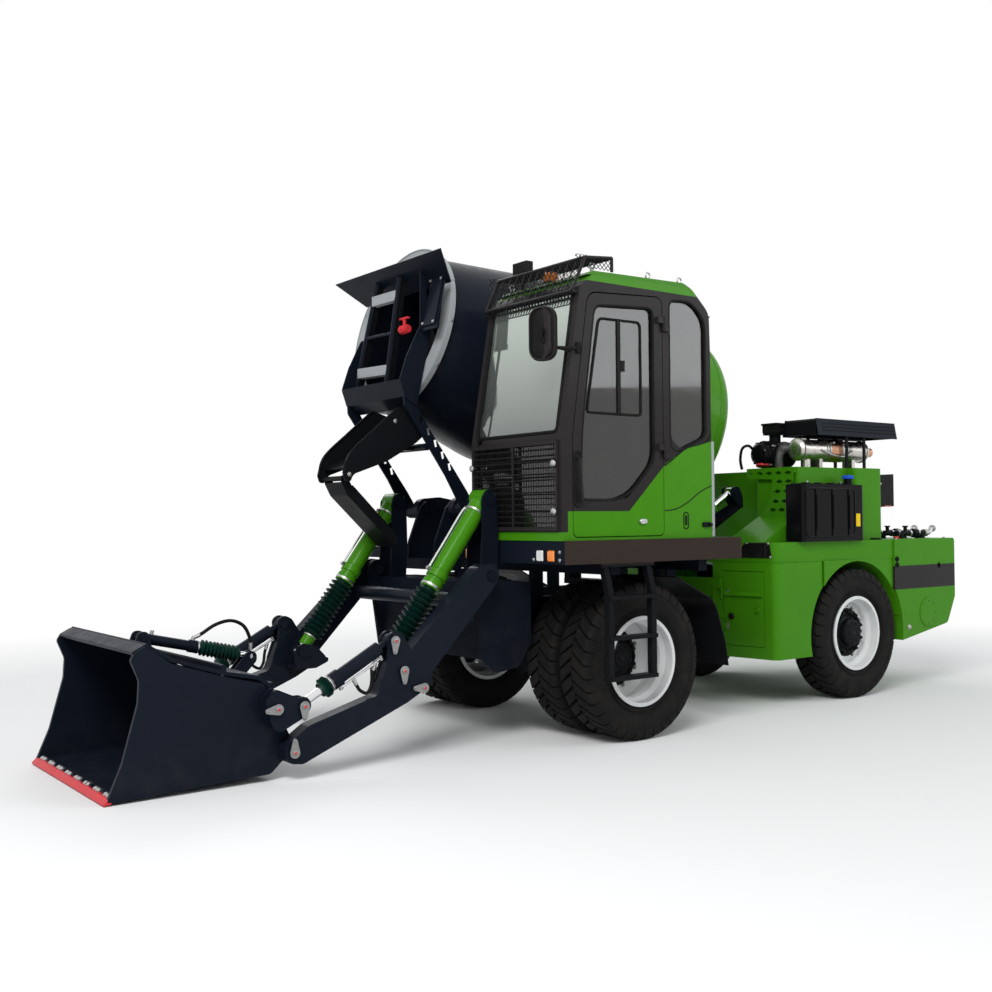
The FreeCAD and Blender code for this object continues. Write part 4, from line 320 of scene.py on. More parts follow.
bellows_rubber = plain_soft("green_rubber", (0.003, 0.028, 0.021), 0.4)
hose_rubber = plain_soft("hose_rubber", (0.006, 0.006, 0.0065), 0.45, grain=400.0, depth=0.0004)
tread_rubber = plain_soft("tread_rubber", (0.0095, 0.0092, 0.0092), 0.65, dust=0.05, spec=0.06)
groove_rubber = plain_soft("groove_rubber", (0.006, 0.0055, 0.0055), 0.8, dust=0.12, spec=0.03)
plastic = plain_soft("grained_plastic", (0.007, 0.007, 0.0075), 0.5, grain=260.0, depth=0.0005, dust=0.05)
# near-black matte put in holes and slots as painted shade
painted_hole_shade = plain_soft("hole_shadow", (0.004, 0.004, 0.004), 0.9, dust=0.0, spec=0.1)
chrome = metal("polished_rod", (0.80, 0.80, 0.82), 0.08, 0.05)
steel = metal("bare_steel", (0.46, 0.46, 0.46), 0.38, 0.25)
stainless = metal("stainless_steel", (0.56, 0.54, 0.50), 0.28, 0.35, (0.20, 0.13, 0.07))
cast = metal("cast_iron", (0.12, 0.12, 0.12), 0.7, 0.4)
keeper_steel = metal("plated_keepers", (0.30, 0.30, 0.30), 0.42)
copper = metal("heated_copper", (0.62, 0.33, 0.21), soil=0.2, soil_colour=(0.25, 0.12, 0.07))
mirror = metal("mirror_face", (0.85, 0.87, 0.88), 0.03, 0.0)
# the cab glass: from the windscreen forwards and above 2 m, a sun coating with a painted reflection
glass = glass_pane("clear_glass", (0.014, 0.012, 0.011), 0.72, (at(745, 0, 2010), Vector((1, 0, 0.163))))
amber = lamp_lens("amber_lens", (0.85, 0.22, 0.01))
clear_lens = lamp_lens("clear_lens", (0.75, 0.76, 0.75), 0.1)
red_lens = lamp_lens("red_lens", (0.55, 0.01, 0.01))

NODE_FINISH = {node: finish for finish, nodes in (
    (frame_paint, "front_chassis front_axle rear_axle"), (platform_paint, "cab_platform"),
    (black, "mudguards main_chute chute_extension hood_fittings"), (grey, "cab_frame"),
    (glass, "cab_glass door_glass"),
    (plastic, "cab_interior"), (door_paint, "cab_door"), (bucket_paint, "loader_bucket bucket_gate"),
    (slate, "loader_arms tilt_barrels gate_barrel drum_cradle loading_hopper"), (edge_paint, "cutting_edge"),
    (green, "cab_shell lift_barrels drum_lift_barrel rear_body engine_hood toolbox_door steer_barrel"),
    (chrome, "lift_rods tilt_rods gate_rod drum_lift_rod steer_rod"), (drum_paint, "mixing_drum"),
    (weight_paint, "counterweight"), (cast, "engine_block"), (tank_plastic, "hydraulic_tank"),
    (stainless, "exhaust_silencer"), (bellows_rubber, "lift_bellows"),
    (rubber, "front_left_tyres front_right_tyres rear_left_tyre rear_right_tyre"),
) for node in nodes.split()}
for corner in CORNERS:
    hub_zone = (joint_place(corner + "_wheel_spin"), LEFT, -2.0, 2.0, HUB_BLACK, HUB_RADIUS)
    rim_node = corner + ("_rims" if corner.startswith("front") else "_rim")
    NODE_FINISH[rim_node] = paint(corner + "_rim_enamel", RIM_WHITE, 0.26, dust=0.10, dust_top=1.1,
                                  zones=(hub_zone,))
for node_name, node_object in frame["nodes"].items():
    node_object.data.materials.clear()
    node_object.data.materials.append(NODE_FINISH[node_name])


# ---------------------------------------------------------------- mesh building

SMALLEST_RADIUS = 0.0002
FINE_EDGE = 0.0008
SOFT_EDGE = 0.001


def circle(centre, across, up, count):
    """Points round an ellipse with these two half axes."""
    turns = [FULL_TURN * i / count for i in range(count)]
    return [centre + across * math.cos(a) + up * math.sin(a) for a in turns]


def frame_round(axis):
    """Two unit vectors square to a unit axis and to each other."""
    side = axis.orthogonal().normalized()
    return side, axis.cross(side)


def grid_loops(rows, count, wrap=False):
    """Faces between neighbouring closed rings of points, and from the last ring to the first when wrap."""
    loops = []
    for r in range(rows if wrap else rows - 1):
        following = (r + 1) % rows
        for i in range(count):
            k = (i + 1) % count
            loops.append((r * count + i, r * count + k, following * count + k, following * count + i))
    return loops


def put(name, data):
    """A new object that holds the data, in the scene."""
    made = bpy.data.objects.new(name, data)
    bpy.context.scene.collection.objects.link(made)
    return made


class Piece:
    """Gathers shapes into one mesh that rides on one body. Points are in metres."""

    def __init__(self, name, body, slot, *materials):
        self.name, self.body, self.slot, self.materials = name, body, slot, materials
        self.mesh = bmesh.new()
        self.finish = 0

    def faces(self, points, loops):
        made = [self.mesh.verts.new(p) for p in points]
        for loop in loops:
            self.mesh.faces.new([made[i] for i in loop]).material_index = self.finish

    def rings(self, rings, close=True):
        """Skins between rings of equal length, capped at both ends when close."""
        count = len(rings[0])
        loops = grid_loops(len(rings), count)
        if close:
            loops.append(tuple(range(count)))
            loops.append(tuple((len(rings) - 1) * count + i for i in reversed(range(count))))
        self.faces([p for ring in rings for p in ring], loops)

    def block(self, low, high):
        (x1, y1, z1), (x2, y2, z2) = low, high
        self.rings([[Vector(p) for p in ((x1, y1, z), (x2, y1, z), (x2, y2, z), (x1, y2, z))]
                    for z in (z1, z2)])

    def box(self, *corners):
        """A block between two corners in millimetres."""
        self.block(at(*corners[:3]), at(*corners[3:]))

    def prism(self, outline, offset):
        """A flat outline of points pushed along offset."""
        self.rings([list(outline), [p + offset for p in outline]])

    def side_plate(self, corners, y, thickness):
        """A rounded outline in X and Z, pushed to the left."""
        self.prism(side_line(corners, y), LEFT * thickness)

    def lathe(self, profile, centre, axis, segments=32, close=True):
        """Turns (distance along the axis, radius) pairs about the axis through centre."""
        axis = axis.normalized()
        side, other = frame_round(axis)
        sized = [(centre + axis * along, max(radius, SMALLEST_RADIUS)) for along, radius in profile]
        self.rings([circle(base, side * radius, other * radius, segments) for base, radius in sized], close)

    def collar(self, start, end, low, high, slope, centre, axis, segments=32):
        """A band round an axis whose two ends slope down from one radius to the other."""
        self.lathe([(start, low), (start + slope, high), (end - slope, high), (end, low)], centre, axis,
                   segments)

    def rod(self, start, end, radius, segments=16):
        self.lathe([(0, radius), ((end - start).length, radius)], start, end - start, segments)

    def bolt(self, foot, axis, radius):
        """A hexagon head on a washer."""
        height = radius * 0.75
        self.lathe([(0, radius * 1.35), (radius * 0.22, radius * 1.35)], foot, axis, 16)
        head = [(radius * 0.2, radius), (height, radius), (height + radius * 0.12, radius * 0.8)]
        self.lathe(head, foot, axis, 6)

    def sweep(self, line, radius, segments, closed=False):
        """Carries a round section along a line."""
        side = (line[1] - line[-1 if closed else 0]).orthogonal().normalized()
        rings = []
        for i, p in enumerate(line):
            before, after = i - 1, (i + 1) % len(line)
            if not closed:
                before, after = max(before, 0), min(i + 1, len(line) - 1)
            ahead = (line[after] - line[before]).normalized()
            side = (side - ahead * side.dot(ahead)).normalized()
            rings.append(circle(p, side * radius, ahead.cross(side) * radius, segments))
        self.rings(rings + rings[:1] if closed else rings, not closed)

    def tube(self, points, radius, segments=12):
        """A round tube through points, with smoothed corners."""
        self.sweep(smooth_line(points), radius, segments)

    def seal(self, line, radius):
        """A round rubber seal that follows a closed line."""
        self.sweep(line, radius, 8, closed=True)

    def done(self, bevel=0.0, angle=35, smooth=True, bend=None):
        """Makes the object. bend, (next body, start, end), is given for a piece that crosses a joint; its
        values are not used, and such a piece is only kept off any body.
        """
        bmesh.ops.recalc_face_normals(self.mesh, faces=self.mesh.faces)
        data = bpy.data.meshes.new(self.name)
        self.mesh.to_mesh(data)
        self.mesh.free()
        for material in self.materials:
            data.materials.append(material)
        if smooth:
            data.shade_smooth()
            data.set_sharp_from_angle(angle=math.radians(angle))
        piece = put(self.name, data)
        if bevel:
            modifier = piece.modifiers.new("edges", "BEVEL")
            modifier.width = bevel
            modifier.segments = 2
            modifier.limit_method = "ANGLE"
            modifier.angle_limit = math.radians(40)
        if bend:
            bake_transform(piece)
        else:
            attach(piece, self.body)
        return piece


def smooth_line(points, steps=6):
    """A Catmull-Rom line through the points."""
    ends = [points[0] * 2 - points[1]] + list(points) + [points[-1] * 2 - points[-2]]
    line = []
    for i in range(1, len(ends) - 2):
        a, b, c, d = ends[i - 1:i + 3]
        for k in range(steps):
            t = k / steps
            line.append(0.5 * ((2 * b) + (c - a) * t + (2 * a - 5 * b + 4 * c - d) * t * t
                               + (3 * b - a - 3 * c + d) * t ** 3))
    line.append(points[-1])
    return line


def soft_outline(corners, steps=5):
    """Rounds the corners of a closed outline of (across, up, radius) points."""
    line = []
    for i, (a, b, radius) in enumerate(corners):
        corner = Vector((a, b))
        before = Vector(corners[i - 1][:2]) - corner
        after = Vector(corners[(i + 1) % len(corners)][:2]) - corner
        reach = min(radius, before.length * 0.47, after.length * 0.47)
        start = corner + before.normalized() * reach
        end = corner + after.normalized() * reach
        for k in range(steps + 1):
            t = k / steps
            line.append(start * (1 - t) ** 2 + corner * 2 * t * (1 - t) + end * t * t)
    return line


def rectangle(a1, b1, a2, b2, radius):
    """The four corners of a rounded rectangle, for soft_outline."""
    return [(a1, b1, radius), (a2, b1, radius), (a2, b2, radius), (a1, b2, radius)]


def side_line(corners, y):
    """An outline drawn in X and Z, standing at one Y."""
    return [at(p.x, y, p.y) for p in soft_outline(corners)]


def cross_line(corners, x):
    """An outline drawn in Y and Z, standing at one X."""
    return [at(x, p.x, p.y) for p in soft_outline(corners)]


def swapped(point):
    """The same place on the machine's right."""
    return Vector((point.x, 2 * MID_Y - point.y, point.z))


def both_sides(point):
    return point, swapped(point)


# ---------------------------------------------------------------- tyres

HALF_CARCASS = [(0.104, 0.290), (0.112, 0.300), (0.119, 0.318), (0.132, 0.352), (0.1415, 0.400),
                (0.1415, 0.440),
                (0.137, 0.478), (0.126, 0.502), (0.100, 0.506)]
CARCASS = [(-y, r) for y, r in HALF_CARCASS] + [(0.0, 0.508)] + HALF_CARCASS[::-1]
LUG_PATH = [(0.004, 0.527), (0.045, 0.527), (0.090, 0.5265), (0.118, 0.523), (0.134, 0.508), (0.1425, 0.484),
            (0.1435, 0.455)]
LUG_FOOT = [(0.004, 0.500), (0.045, 0.500), (0.090, 0.500), (0.116, 0.496), (0.126, 0.488), (0.130, 0.470),
            (0.134, 0.452)]
LUGS = 36
LUG_LEAN = -0.16
TURN = 72
GROOVE_RADIUS = 0.499
WALL_RINGS = (0.352, 0.336)


def wheel_point(centre, y, radius, angle):
    return centre + Vector((radius * math.cos(angle), y, radius * math.sin(angle)))


def wheel_rings(centre, profile):
    return [circle(centre + LEFT * y, FORWARDS * r, UP * r, TURN) for y, r in profile]


def tyre(name, body, node, places):
    """A cross-ply tyre with slanted lugs on each side of the middle."""
    piece = Piece(name, body, "tyre", tread_rubber, groove_rubber)
    for centre in places:
        start = len(piece.mesh.faces)
        points = [p for ring in wheel_rings(centre, CARCASS) for p in ring]
        piece.faces(points, grid_loops(len(CARCASS), TURN, wrap=True))
        piece.mesh.faces.ensure_lookup_table()
        for face in piece.mesh.faces[start:]:
            way = face.calc_center_median() - centre
            if math.hypot(way.x, way.z) > GROOVE_RADIUS:
                face.material_index = 1
        for side in (-1, 1):
            for i in range(LUGS):
                base = FULL_TURN * (i + (0.5 if side > 0 else 0.0)) / LUGS
                rings = []
                for (y, top), (foot_y, foot) in zip(LUG_PATH, LUG_FOOT):
                    lean = base + LUG_LEAN * min(1.0, y / 0.125)
                    half_top = (0.033 + 0.005 * min(1.0, y / 0.12)) / top
                    half_foot = half_top + 0.003 / top
                    rings.append([wheel_point(centre, side * across, radius, lean + half)
                                  for across, radius, half in (
                        (foot_y, foot, -half_foot), (y, top, -half_top), (y, top, half_top),
                        (foot_y, foot, half_foot))])
                piece.rings(rings)
            for radius in WALL_RINGS:
                ridge = ((0.1285, radius - 0.004), (0.1345, radius), (0.1285, radius + 0.004))
                piece.rings(wheel_rings(centre, [(side * y, r) for y, r in ridge]), close=False)
    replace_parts(piece.done(angle=30), node)


def wheel_places(spin, node, twin):
    centre = Vector((joint_place(spin).x, 0, TYRE_RADIUS))
    low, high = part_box(node)
    middles = (low.y + TYRE_WIDTH / 2, high.y - TYRE_WIDTH / 2) if twin else ((low.y + high.y) / 2,)
    return [centre + LEFT * y for y in middles]


for corner in CORNERS:
    twin = corner.startswith("front")
    node = corner + ("_tyres" if twin else "_tyre")
    tyre(corner + "_lug_tyres", corner + "_wheel", node, wheel_places(corner + "_wheel_spin", node, twin))

# ---------------------------------------------------------------- wheels

HUB_COVER = [(0.0005, 0.196), (0.003, 0.196), (0.0035, 0.139), (0.010, 0.138), (0.016, 0.130),
             (0.020, 0.116),
             (0.060, 0.112), (0.067, 0.102), (0.068, 0.060), (0.074, 0.054), (0.0745, 0.001)]
NUT_SHAPES = (([(0, 0.025), (0.004, 0.025)], 20), ([(0.003, 0.0185), (0.026, 0.0185), (0.030, 0.0155)], 6),
              ([(0.028, 0.010), (0.040, 0.010), (0.042, 0.008)], 12))
DISC_FACE = {"front": 875, "rear": 861}
NUTS = 10
NUT_CIRCLE = 0.167
COVER_BOLT_CIRCLE = 0.084
VALVE_CIRCLE = 0.222

for corner in CORNERS:
    side = 1 if corner.endswith("left") else -1
    face = at(0, side * DISC_FACE[corner.split("_")[0]], 0).y
    centre = Vector((joint_place(corner + "_wheel_spin").x, face, TYRE_RADIUS))
    outwards = LEFT * side
    part = Piece(corner + "_hub_cover", corner + "_wheel", "black_paint", black, nut_steel)
    part.lathe(HUB_COVER, centre, outwards, 48)
    part.finish = 1
    for i in range(NUTS):
        a = FULL_TURN * (i + 0.5) / NUTS
        around = Vector((math.cos(a), 0, math.sin(a)))
        for profile, segments in NUT_SHAPES:
            part.lathe(profile, centre + around * NUT_CIRCLE, outwards, segments)
        part.bolt(centre + around * COVER_BOLT_CIRCLE + outwards * 0.0673, outwards, 0.0085)
    part.lathe([(0.074, 0.020), (0.079, 0.018), (0.080, 0.008)], centre, outwards, 20)
    part.done(SOFT_EDGE)
    part = Piece(corner + "_valve", corner + "_wheel", "stainless", rubber, steel)
    a = math.radians(80)
    foot = centre + Vector((math.cos(a) * VALVE_CIRCLE, side * -0.020, math.sin(a) * VALVE_CIRCLE))
    part.lathe([(0, 0.011), (0.016, 0.009), (0.020, 0.005)], foot, outwards, 12)
    part.finish = 1
    part.lathe([(0.018, 0.0045), (0.058, 0.0045), (0.060, 0.006), (0.072, 0.006), (0.074, 0.003)], foot,
               outwards, 12)
    part.done()

# ---------------------------------------------------------------- loader

EDGE_BOLT_GROUPS = 8
BUCKET_HALF = 680

part = Piece("edge_bolts", "bucket", "stainless", steel)
for i in range(EDGE_BOLT_GROUPS):
    for step in (-24, 24):
        foot = at(3376, -BUCKET_HALF + 2 * BUCKET_HALF * (i + 0.5) / EDGE_BOLT_GROUPS + step, 40.5)
        part.lathe([(0, 0.0205), (0.005, 0.0205), (0.008, 0.0165), (0.013, 0.012), (0.0158, 0.004)], foot,
                   UP, 20)
part.done()


def teardrop(centre, pointing, big, small, reach, outwards, turns=10):
    """The outline of a plate that narrows from a big round end to a small one."""
    side = outwards.cross(pointing).normalized()
    lean = math.acos((big - small) / reach)
    outline = []
    for i in range(2 * turns + 1):
        a = lean + (FULL_TURN - 2 * lean) * i / (2 * turns)
        outline.append(centre + (pointing * math.cos(a) + side * math.sin(a)) * big)
    for i in range(turns + 1):
        a = -lean + 2 * lean * i / turns
        outline.append(centre + pointing * reach + (pointing * math.cos(a) + side * math.sin(a)) * small)
    return outline


KEEPER_REACH = 0.066


def lock_plates(name, body, places, outer=805.0):
    """Polished keeper plates on pin ends: a teardrop, a red plug on the pin and a small bolt."""
    part = Piece(name, body, "stainless", keeper_steel, red)
    for x, z, lean_x, lean_z in places:
        for side in (1, -1):
            outwards = LEFT * side
            centre = at(x, side * outer, z)
            pointing = Vector((lean_x, 0, lean_z)).normalized()
            part.finish = 0
            push = outwards * 0.006
            part.prism(teardrop(centre, pointing, 0.031, 0.015, KEEPER_REACH, outwards), push)
            part.bolt(centre + pointing * KEEPER_REACH + push, outwards, 0.008)
            part.lathe([(0.005, 0.017), (0.010, 0.017), (0.011, 0.015)], centre, outwards, 24)
            part.finish = 1
            part.lathe([(0.010, 0.009), (0.013, 0.008), (0.015, 0.004)], centre, outwards, 20)
    part.done(FINE_EDGE)


lock_plates("arm_lock_plates", "arms", (
    (1512, 454, 1, 0.06), (1718, 756, 0.05, -1), (1655, 570, 0, -1), (2390, 170, 0, 1)))
lock_plates("bucket_lock_plates", "bucket", ((2325, 425, 0, -1), (2489, 425, 1, -0.05)), outer=801.0)
part = Piece("arm_pivot_caps", "front_frame", "stainless", steel, slate)
part.finish = 1
for side in (1, -1):
    part.bolt(at(1138, side * 790, 848), LEFT * side, 0.011)
part.done()


def pleats(piece, start, axis, length, folds, inner, outer, segments=28):
    """A pleated sleeve round an axis, with slightly uneven pleats."""
    side, other = frame_round(axis)
    stations = [(0.0, inner), (0.012, inner)]
    room = length - 0.024
    for i in range(folds):
        stations.append((0.012 + room * (i + 0.5) / folds, outer))
        stations.append((0.012 + room * (i + 1) / folds, inner if i < folds - 1 else inner + 0.001))
    stations.append((length, inner))
    rings = []
    for along, radius in stations:
        ring = []
        wander = random.uniform(-0.0015, 0.0015)
        crest = radius > inner + 0.002
        for k in range(segments):
            a = FULL_TURN * k / segments
            r = radius * (1 + (random.uniform(-0.045, 0.03) if crest else 0.0))
            ring.append(start + axis * (along + (wander if crest else 0.0))
                        + (side * math.cos(a) + other * math.sin(a)) * r)
        rings.append(ring)
    piece.rings(rings)


def squared(axis):
    """The direction square to an axis that lies in X and Z, turned a quarter towards Z."""
    return Vector((-axis.z, 0, axis.x))


def stub(piece, foot, out, low, high, radius):
    """A hexagonal pipe fitting that stands out from a line."""
    piece.rod(foot + out * low, foot + out * high, radius, 6)


def pipe_beside(piece, anchor, axis, aside, stations, radius):
    """A hard pipe beside a cylinder, through (distance along, share of the offset) stations."""
    piece.tube([anchor + axis * along + aside * share for along, share in stations], radius, 10)


LIFT_START, LIFT_END = at(880, 560, 1620), at(1655, 560, 570)
TILT_START, TILT_END = at(1718, 740, 756), at(2325, 740, 425)
GATE_START, GATE_END = at(2990, 0, 800), at(2290, 0, 640)
lift_axis = (LIFT_END - LIFT_START).normalized()
tilt_axis = (TILT_END - TILT_START).normalized()
gate_axis = (GATE_END - GATE_START).normalized()
lift_reach = (LIFT_END - LIFT_START).length
LIFT_SLEEVE = (0.7205, lift_reach - 0.118)

part = Piece("lift_sleeves", "lift_rods", "bellows_rubber", bellows_rubber)
for anchor in both_sides(LIFT_START):
    pleats(part, anchor + lift_axis * LIFT_SLEEVE[0], lift_axis, LIFT_SLEEVE[1] - LIFT_SLEEVE[0], 12, 0.042,
           0.084)
sleeve = part.done(angle=25)
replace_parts(sleeve, "lift_bellows")
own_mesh(sleeve)

part = Piece("lift_collars", "lift_barrels", "stainless", steel, green, chrome)
ahead = squared(lift_axis)
for anchor in both_sides(LIFT_START):
    part.finish = 1
    part.collar(0.585, 0.645, 0.0625, 0.071, 0.005, anchor, lift_axis)
    part.lathe([(0.660, 0.062), (0.664, 0.068), (0.708, 0.068), (0.714, 0.060)], anchor, lift_axis)
    part.finish = 0
    part.collar(0.696, 0.713, 0.0685, 0.071, 0.002, anchor, lift_axis)
    part.collar(0.100, 0.116, 0.0625, 0.066, 0.002, anchor, lift_axis)
    part.finish = 2
    pipe_beside(part, anchor, lift_axis, ahead * 0.086,
                ((0.12, 0.75), (0.16, 1), (0.40, 1), (0.60, 1), (0.618, 0.85)), 0.0085)
    part.finish = 0
    stub(part, anchor + lift_axis * 0.615, ahead, 0.060, 0.098, 0.015)
    stub(part, anchor + lift_axis * 0.13, ahead, 0.055, 0.080, 0.015)
part.done(FINE_EDGE)
part = Piece("lift_rod_necks", "lift_rods", "green_paint", green, steel)
for anchor in both_sides(LIFT_START):
    eye = anchor + lift_axis * lift_reach
    part.finish = 0
    part.lathe([(-0.122, 0.039), (-0.118, 0.044), (-0.052, 0.044), (-0.048, 0.040)], eye, lift_axis)
    part.finish = 1
    part.collar(-0.132, -0.119, 0.043, 0.047, 0.002, eye, lift_axis)
part.done(FINE_EDGE)

part = Piece("tilt_sleeves", "tilt_barrels", "bellows_rubber", bellows_rubber, steel, slate, chrome)
below = -squared(tilt_axis)
for anchor in both_sides(TILT_START):
    part.finish = 0
    pleats(part, anchor + tilt_axis * 0.4705, tilt_axis, 0.070, 3, 0.044, 0.064)
    part.finish = 2
    part.lathe([(0.395, 0.0435), (0.398, 0.052), (0.455, 0.052), (0.459, 0.0435)], anchor, tilt_axis)
    part.finish = 1
    part.collar(0.4585, 0.4795, 0.0435, 0.050, 0.0015, anchor, tilt_axis)
    part.finish = 3
    pipe_beside(part, anchor, tilt_axis, below * 0.062,
                ((0.10, 0.8), (0.13, 1), (0.30, 1), (0.40, 1), (0.425, 0.8)), 0.008)
    part.finish = 1
    for along in (0.105, 0.420):
        stub(part, anchor + tilt_axis * along, below, 0.040, 0.074, 0.014)
part.done(FINE_EDGE)

GATE_SLEEVE_START = 0.3625
GATE_SLEEVE_LENGTH = 0.275
part = Piece("gate_sleeve", "gate_rod", "bellows_rubber", bellows_rubber)
pleats(part, GATE_START + gate_axis * GATE_SLEEVE_START, gate_axis, GATE_SLEEVE_LENGTH, 10, 0.029, 0.050)
sleeve = part.done(angle=25)
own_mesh(sleeve)
part = Piece("gate_collars", "gate_barrel", "stainless", steel, slate)
gate_up = -squared(gate_axis)
part.lathe([(0.350, 0.0325), (0.3515, 0.040), (0.361, 0.040), (0.362, 0.0325)], GATE_START, gate_axis)
part.finish = 1
part.collar(0.300, 0.348, 0.0325, 0.039, 0.003, GATE_START, gate_axis)
part.finish = 0
for along in (0.060, 0.322):
    stub(part, GATE_START + gate_axis * along, gate_up, 0.028, 0.056, 0.012)
part.done(FINE_EDGE)


def fixed_hose(name, first, second, points, radius):
    """A short hose fixed at both ends, from one body to the next one along, with swaged steel ends."""
    part = Piece(name, first, "black_plastic", hose_rubber, steel)
    part.tube(points, radius)
    line = smooth_line(points)
    part.finish = 1
    for end, inner in ((line[0], line[3]), (line[-1], line[-4])):
        part.rod(end, end + (inner - end).normalized() * 0.045, 0.013, 8)
    part.done(bend=(second, points[1], points[-2]) if second else None)


fixed_hose("gate_hose", "gate_barrel", "gate_rod",
           [GATE_START + gate_axis * 0.322 + gate_up * 0.050] + side_points(
    0, (2610, 800), (2520, 850), (2420, 868), (2335, 830), (2292, 745), (2288, 676)), 0.011)
for label, y in (("left", 740), ("right", -740)):
    fixed_hose("tilt_hose_" + label, "tilt_barrels", None, side_points(
        y, (1976, 548), (1948, 500), (1925, 470), (1880, 452), (1852, 492), (1842, 560), (1822, 625)),
        0.0105)

# ---------------------------------------------------------------- cab

DOOR_WINDOW = [(-20, 1860, 90), (240, 1600, 160), (625, 1600, 60), (622, 2010, 200), (500, 2850, 70),
               (-20, 2880, 60)]
DOOR_EDGE = [(-72, 1374, 36), (668, 1374, 36), (668, 1990, 190), (535, 2892, 80), (-72, 2926, 56)]
SLIDING_PANE = [(85, 2160, 30), (560, 2160, 30), (452, 2770, 40), (85, 2775, 40)]
QUARTER_WINDOW = [(-520, 2040, 60), (-170, 1900, 120), (-170, 2950, 60), (-380, 2965, 80), (-520, 2850, 90)]
RIGHT_WINDOW = [(-500, 2080, 80), (520, 2080, 80), (600, 2300, 100), (500, 2930, 80), (-380, 2940, 80),
                (-500, 2800, 80)]
CAB_LEFT = 1270
CAB_RIGHT = 315

part = Piece("door_seals", "cab_door", "black_plastic", rubber, plastic, steel, clear_lens)
part.seal(side_line(DOOR_WINDOW, CAB_LEFT - 8), 0.011)
part.seal(side_line(DOOR_EDGE, CAB_LEFT - 44), 0.012)
# the sliding pane: its frame, the middle bar and the catch
part.seal(side_line(SLIDING_PANE, CAB_LEFT - 18), 0.009)
part.finish = 1
part.prism(side_points(CAB_LEFT - 27, (268, 2160), (296, 2160), (296, 2772), (268, 2772)), LEFT * 0.016)
part.prism(side_points(CAB_LEFT - 28, (236, 2440), (266, 2440), (266, 2510), (236, 2510)), LEFT * 0.022)
# handle recess with its grip, and the lock below
part.seal(side_line(rectangle(628, 1560, 684, 1905, 26), CAB_LEFT + 0.5), 0.007)
part.side_plate(rectangle(634, 1566, 678, 1899, 22), CAB_LEFT - 2, 0.004)
part.finish = 2
part.side_plate(rectangle(60, 1448, 128, 1478, 14), CAB_LEFT, 0.007)
part.lathe([(0, 0.019), (0.012, 0.019), (0.016, 0.016)], at(108, CAB_LEFT, 1462), LEFT, 24)
part.done(SOFT_EDGE)

part = Piece("cab_panel_lines", "front_frame", "black_plastic", rubber, plastic, steel, black)
part.seal(side_line(QUARTER_WINDOW, CAB_LEFT - 8), 0.011)
part.seal(side_line(RIGHT_WINDOW, CAB_RIGHT + 8), 0.011)
# the windscreen leans back from (784, 2030) to (628, 2930) in X and Z
screen_line = soft_outline([(365, 0, 40), (1220, 0, 40), (1210, 1000, 60), (375, 1000, 60)])
part.seal([at(782 - 156 * p.y / 1000, p.x, 2030 + 900 * p.y / 1000) for p in screen_line], 0.012)
part.seal(cross_line(rectangle(370, 1425, 1215, 1960, 30), 779), 0.009)
part.seal(cross_line(rectangle(385, 2080, 1200, 2780, 60), -562), 0.011)
# the seam that crosses the quarter panel, the edge of the green panel, the keyhole plate and the black catch
part.tube(side_points(CAB_LEFT + 0.3, (-110, 1532), (-220, 1545), (-330, 1590), (-450, 1660), (-566, 1705)),
          0.0035, 8)
part.tube(side_points(CAB_LEFT + 0.3, (-112, 1832), (-200, 1885), (-320, 1955), (-440, 1985), (-520, 2008),
                      (-565, 2060)), 0.0045, 8)
part.seal(side_line(rectangle(-332, 1410, -288, 1520, 22), CAB_LEFT + 0.5), 0.004)
part.finish = 3
part.side_plate(rectangle(-319, 1432, -301, 1500, 9), CAB_LEFT - 2, 0.005)
part.side_plate(rectangle(-545, 1418, -470, 1452, 12), CAB_LEFT - 2, 0.016)
part.rod(at(-535, CAB_LEFT + 12, 1435), at(-535, CAB_LEFT + 30, 1435), 0.010, 12)
# slotted strip down the cab's rear edge
part.finish = 2
for low in range(1420, 1960, 36):
    part.box(-590, CAB_LEFT - 22, low, -569, CAB_LEFT - 4, low + 24)
part.done(SOFT_EDGE)
part = Piece("cab_edge_strip", "front_frame", "grey_paint", pale_plate)
part.box(-592, CAB_LEFT - 26, 1352, -588, CAB_LEFT + 4, 2010)
part.box(-588, CAB_LEFT - 1, 1352, -567, CAB_LEFT + 4, 2010)
part.done(SOFT_EDGE)

GUARD_Y = (335, 1250)
GUARD_PITCH = 0.034
GUARD_WIRE = 0.0028
SIDE_GUARD_WIRE = 0.0026
FRINGE_WIRES = 31
FRINGE_PITCH = 30


def mesh_panel(piece, corner, across_end, up_end, wire):
    """A panel of crossing diagonal wires clipped to the panel's own edges."""
    across, up = across_end - corner, up_end - corner
    width, height = across.length, up.length
    a, b = across.normalized(), up.normalized()
    shift = -height
    while shift < width + height:
        for lean in (1, -1):
            start = max(0.0, -shift if lean > 0 else shift - width)
            end = min(height, width - shift if lean > 0 else shift)
            if end - start > 0.01:
                piece.rod(*[corner + a * (shift + lean * way) + b * way for way in (start, end)], wire, 5)
        shift += GUARD_PITCH


# guard over the roof's front: diagonal mesh and a lower fringe
part = Piece("guard_mesh", "front_frame", "black_paint", black)
right_y, left_y = GUARD_Y
mesh_panel(part, at(672, right_y, 2925), at(672, left_y, 2925), at(560, right_y, 3150), GUARD_WIRE)
mesh_panel(part, at(560, right_y, 3150), at(560, left_y, 3150), at(330, right_y, 3172), GUARD_WIRE)
for k in range(FRINGE_WIRES):
    y = 340 + FRINGE_PITCH * k
    part.rod(at(674, y, 2925), at(668, y, 2878), 0.0045, 6)
part.rod(at(668, right_y, 2878), at(668, left_y, 2878), 0.004, 8)
for y in GUARD_Y:
    mesh_panel(part, at(340, y, 3085), at(640, y, 3085), at(340, y, 3165), SIDE_GUARD_WIRE)
part.done()

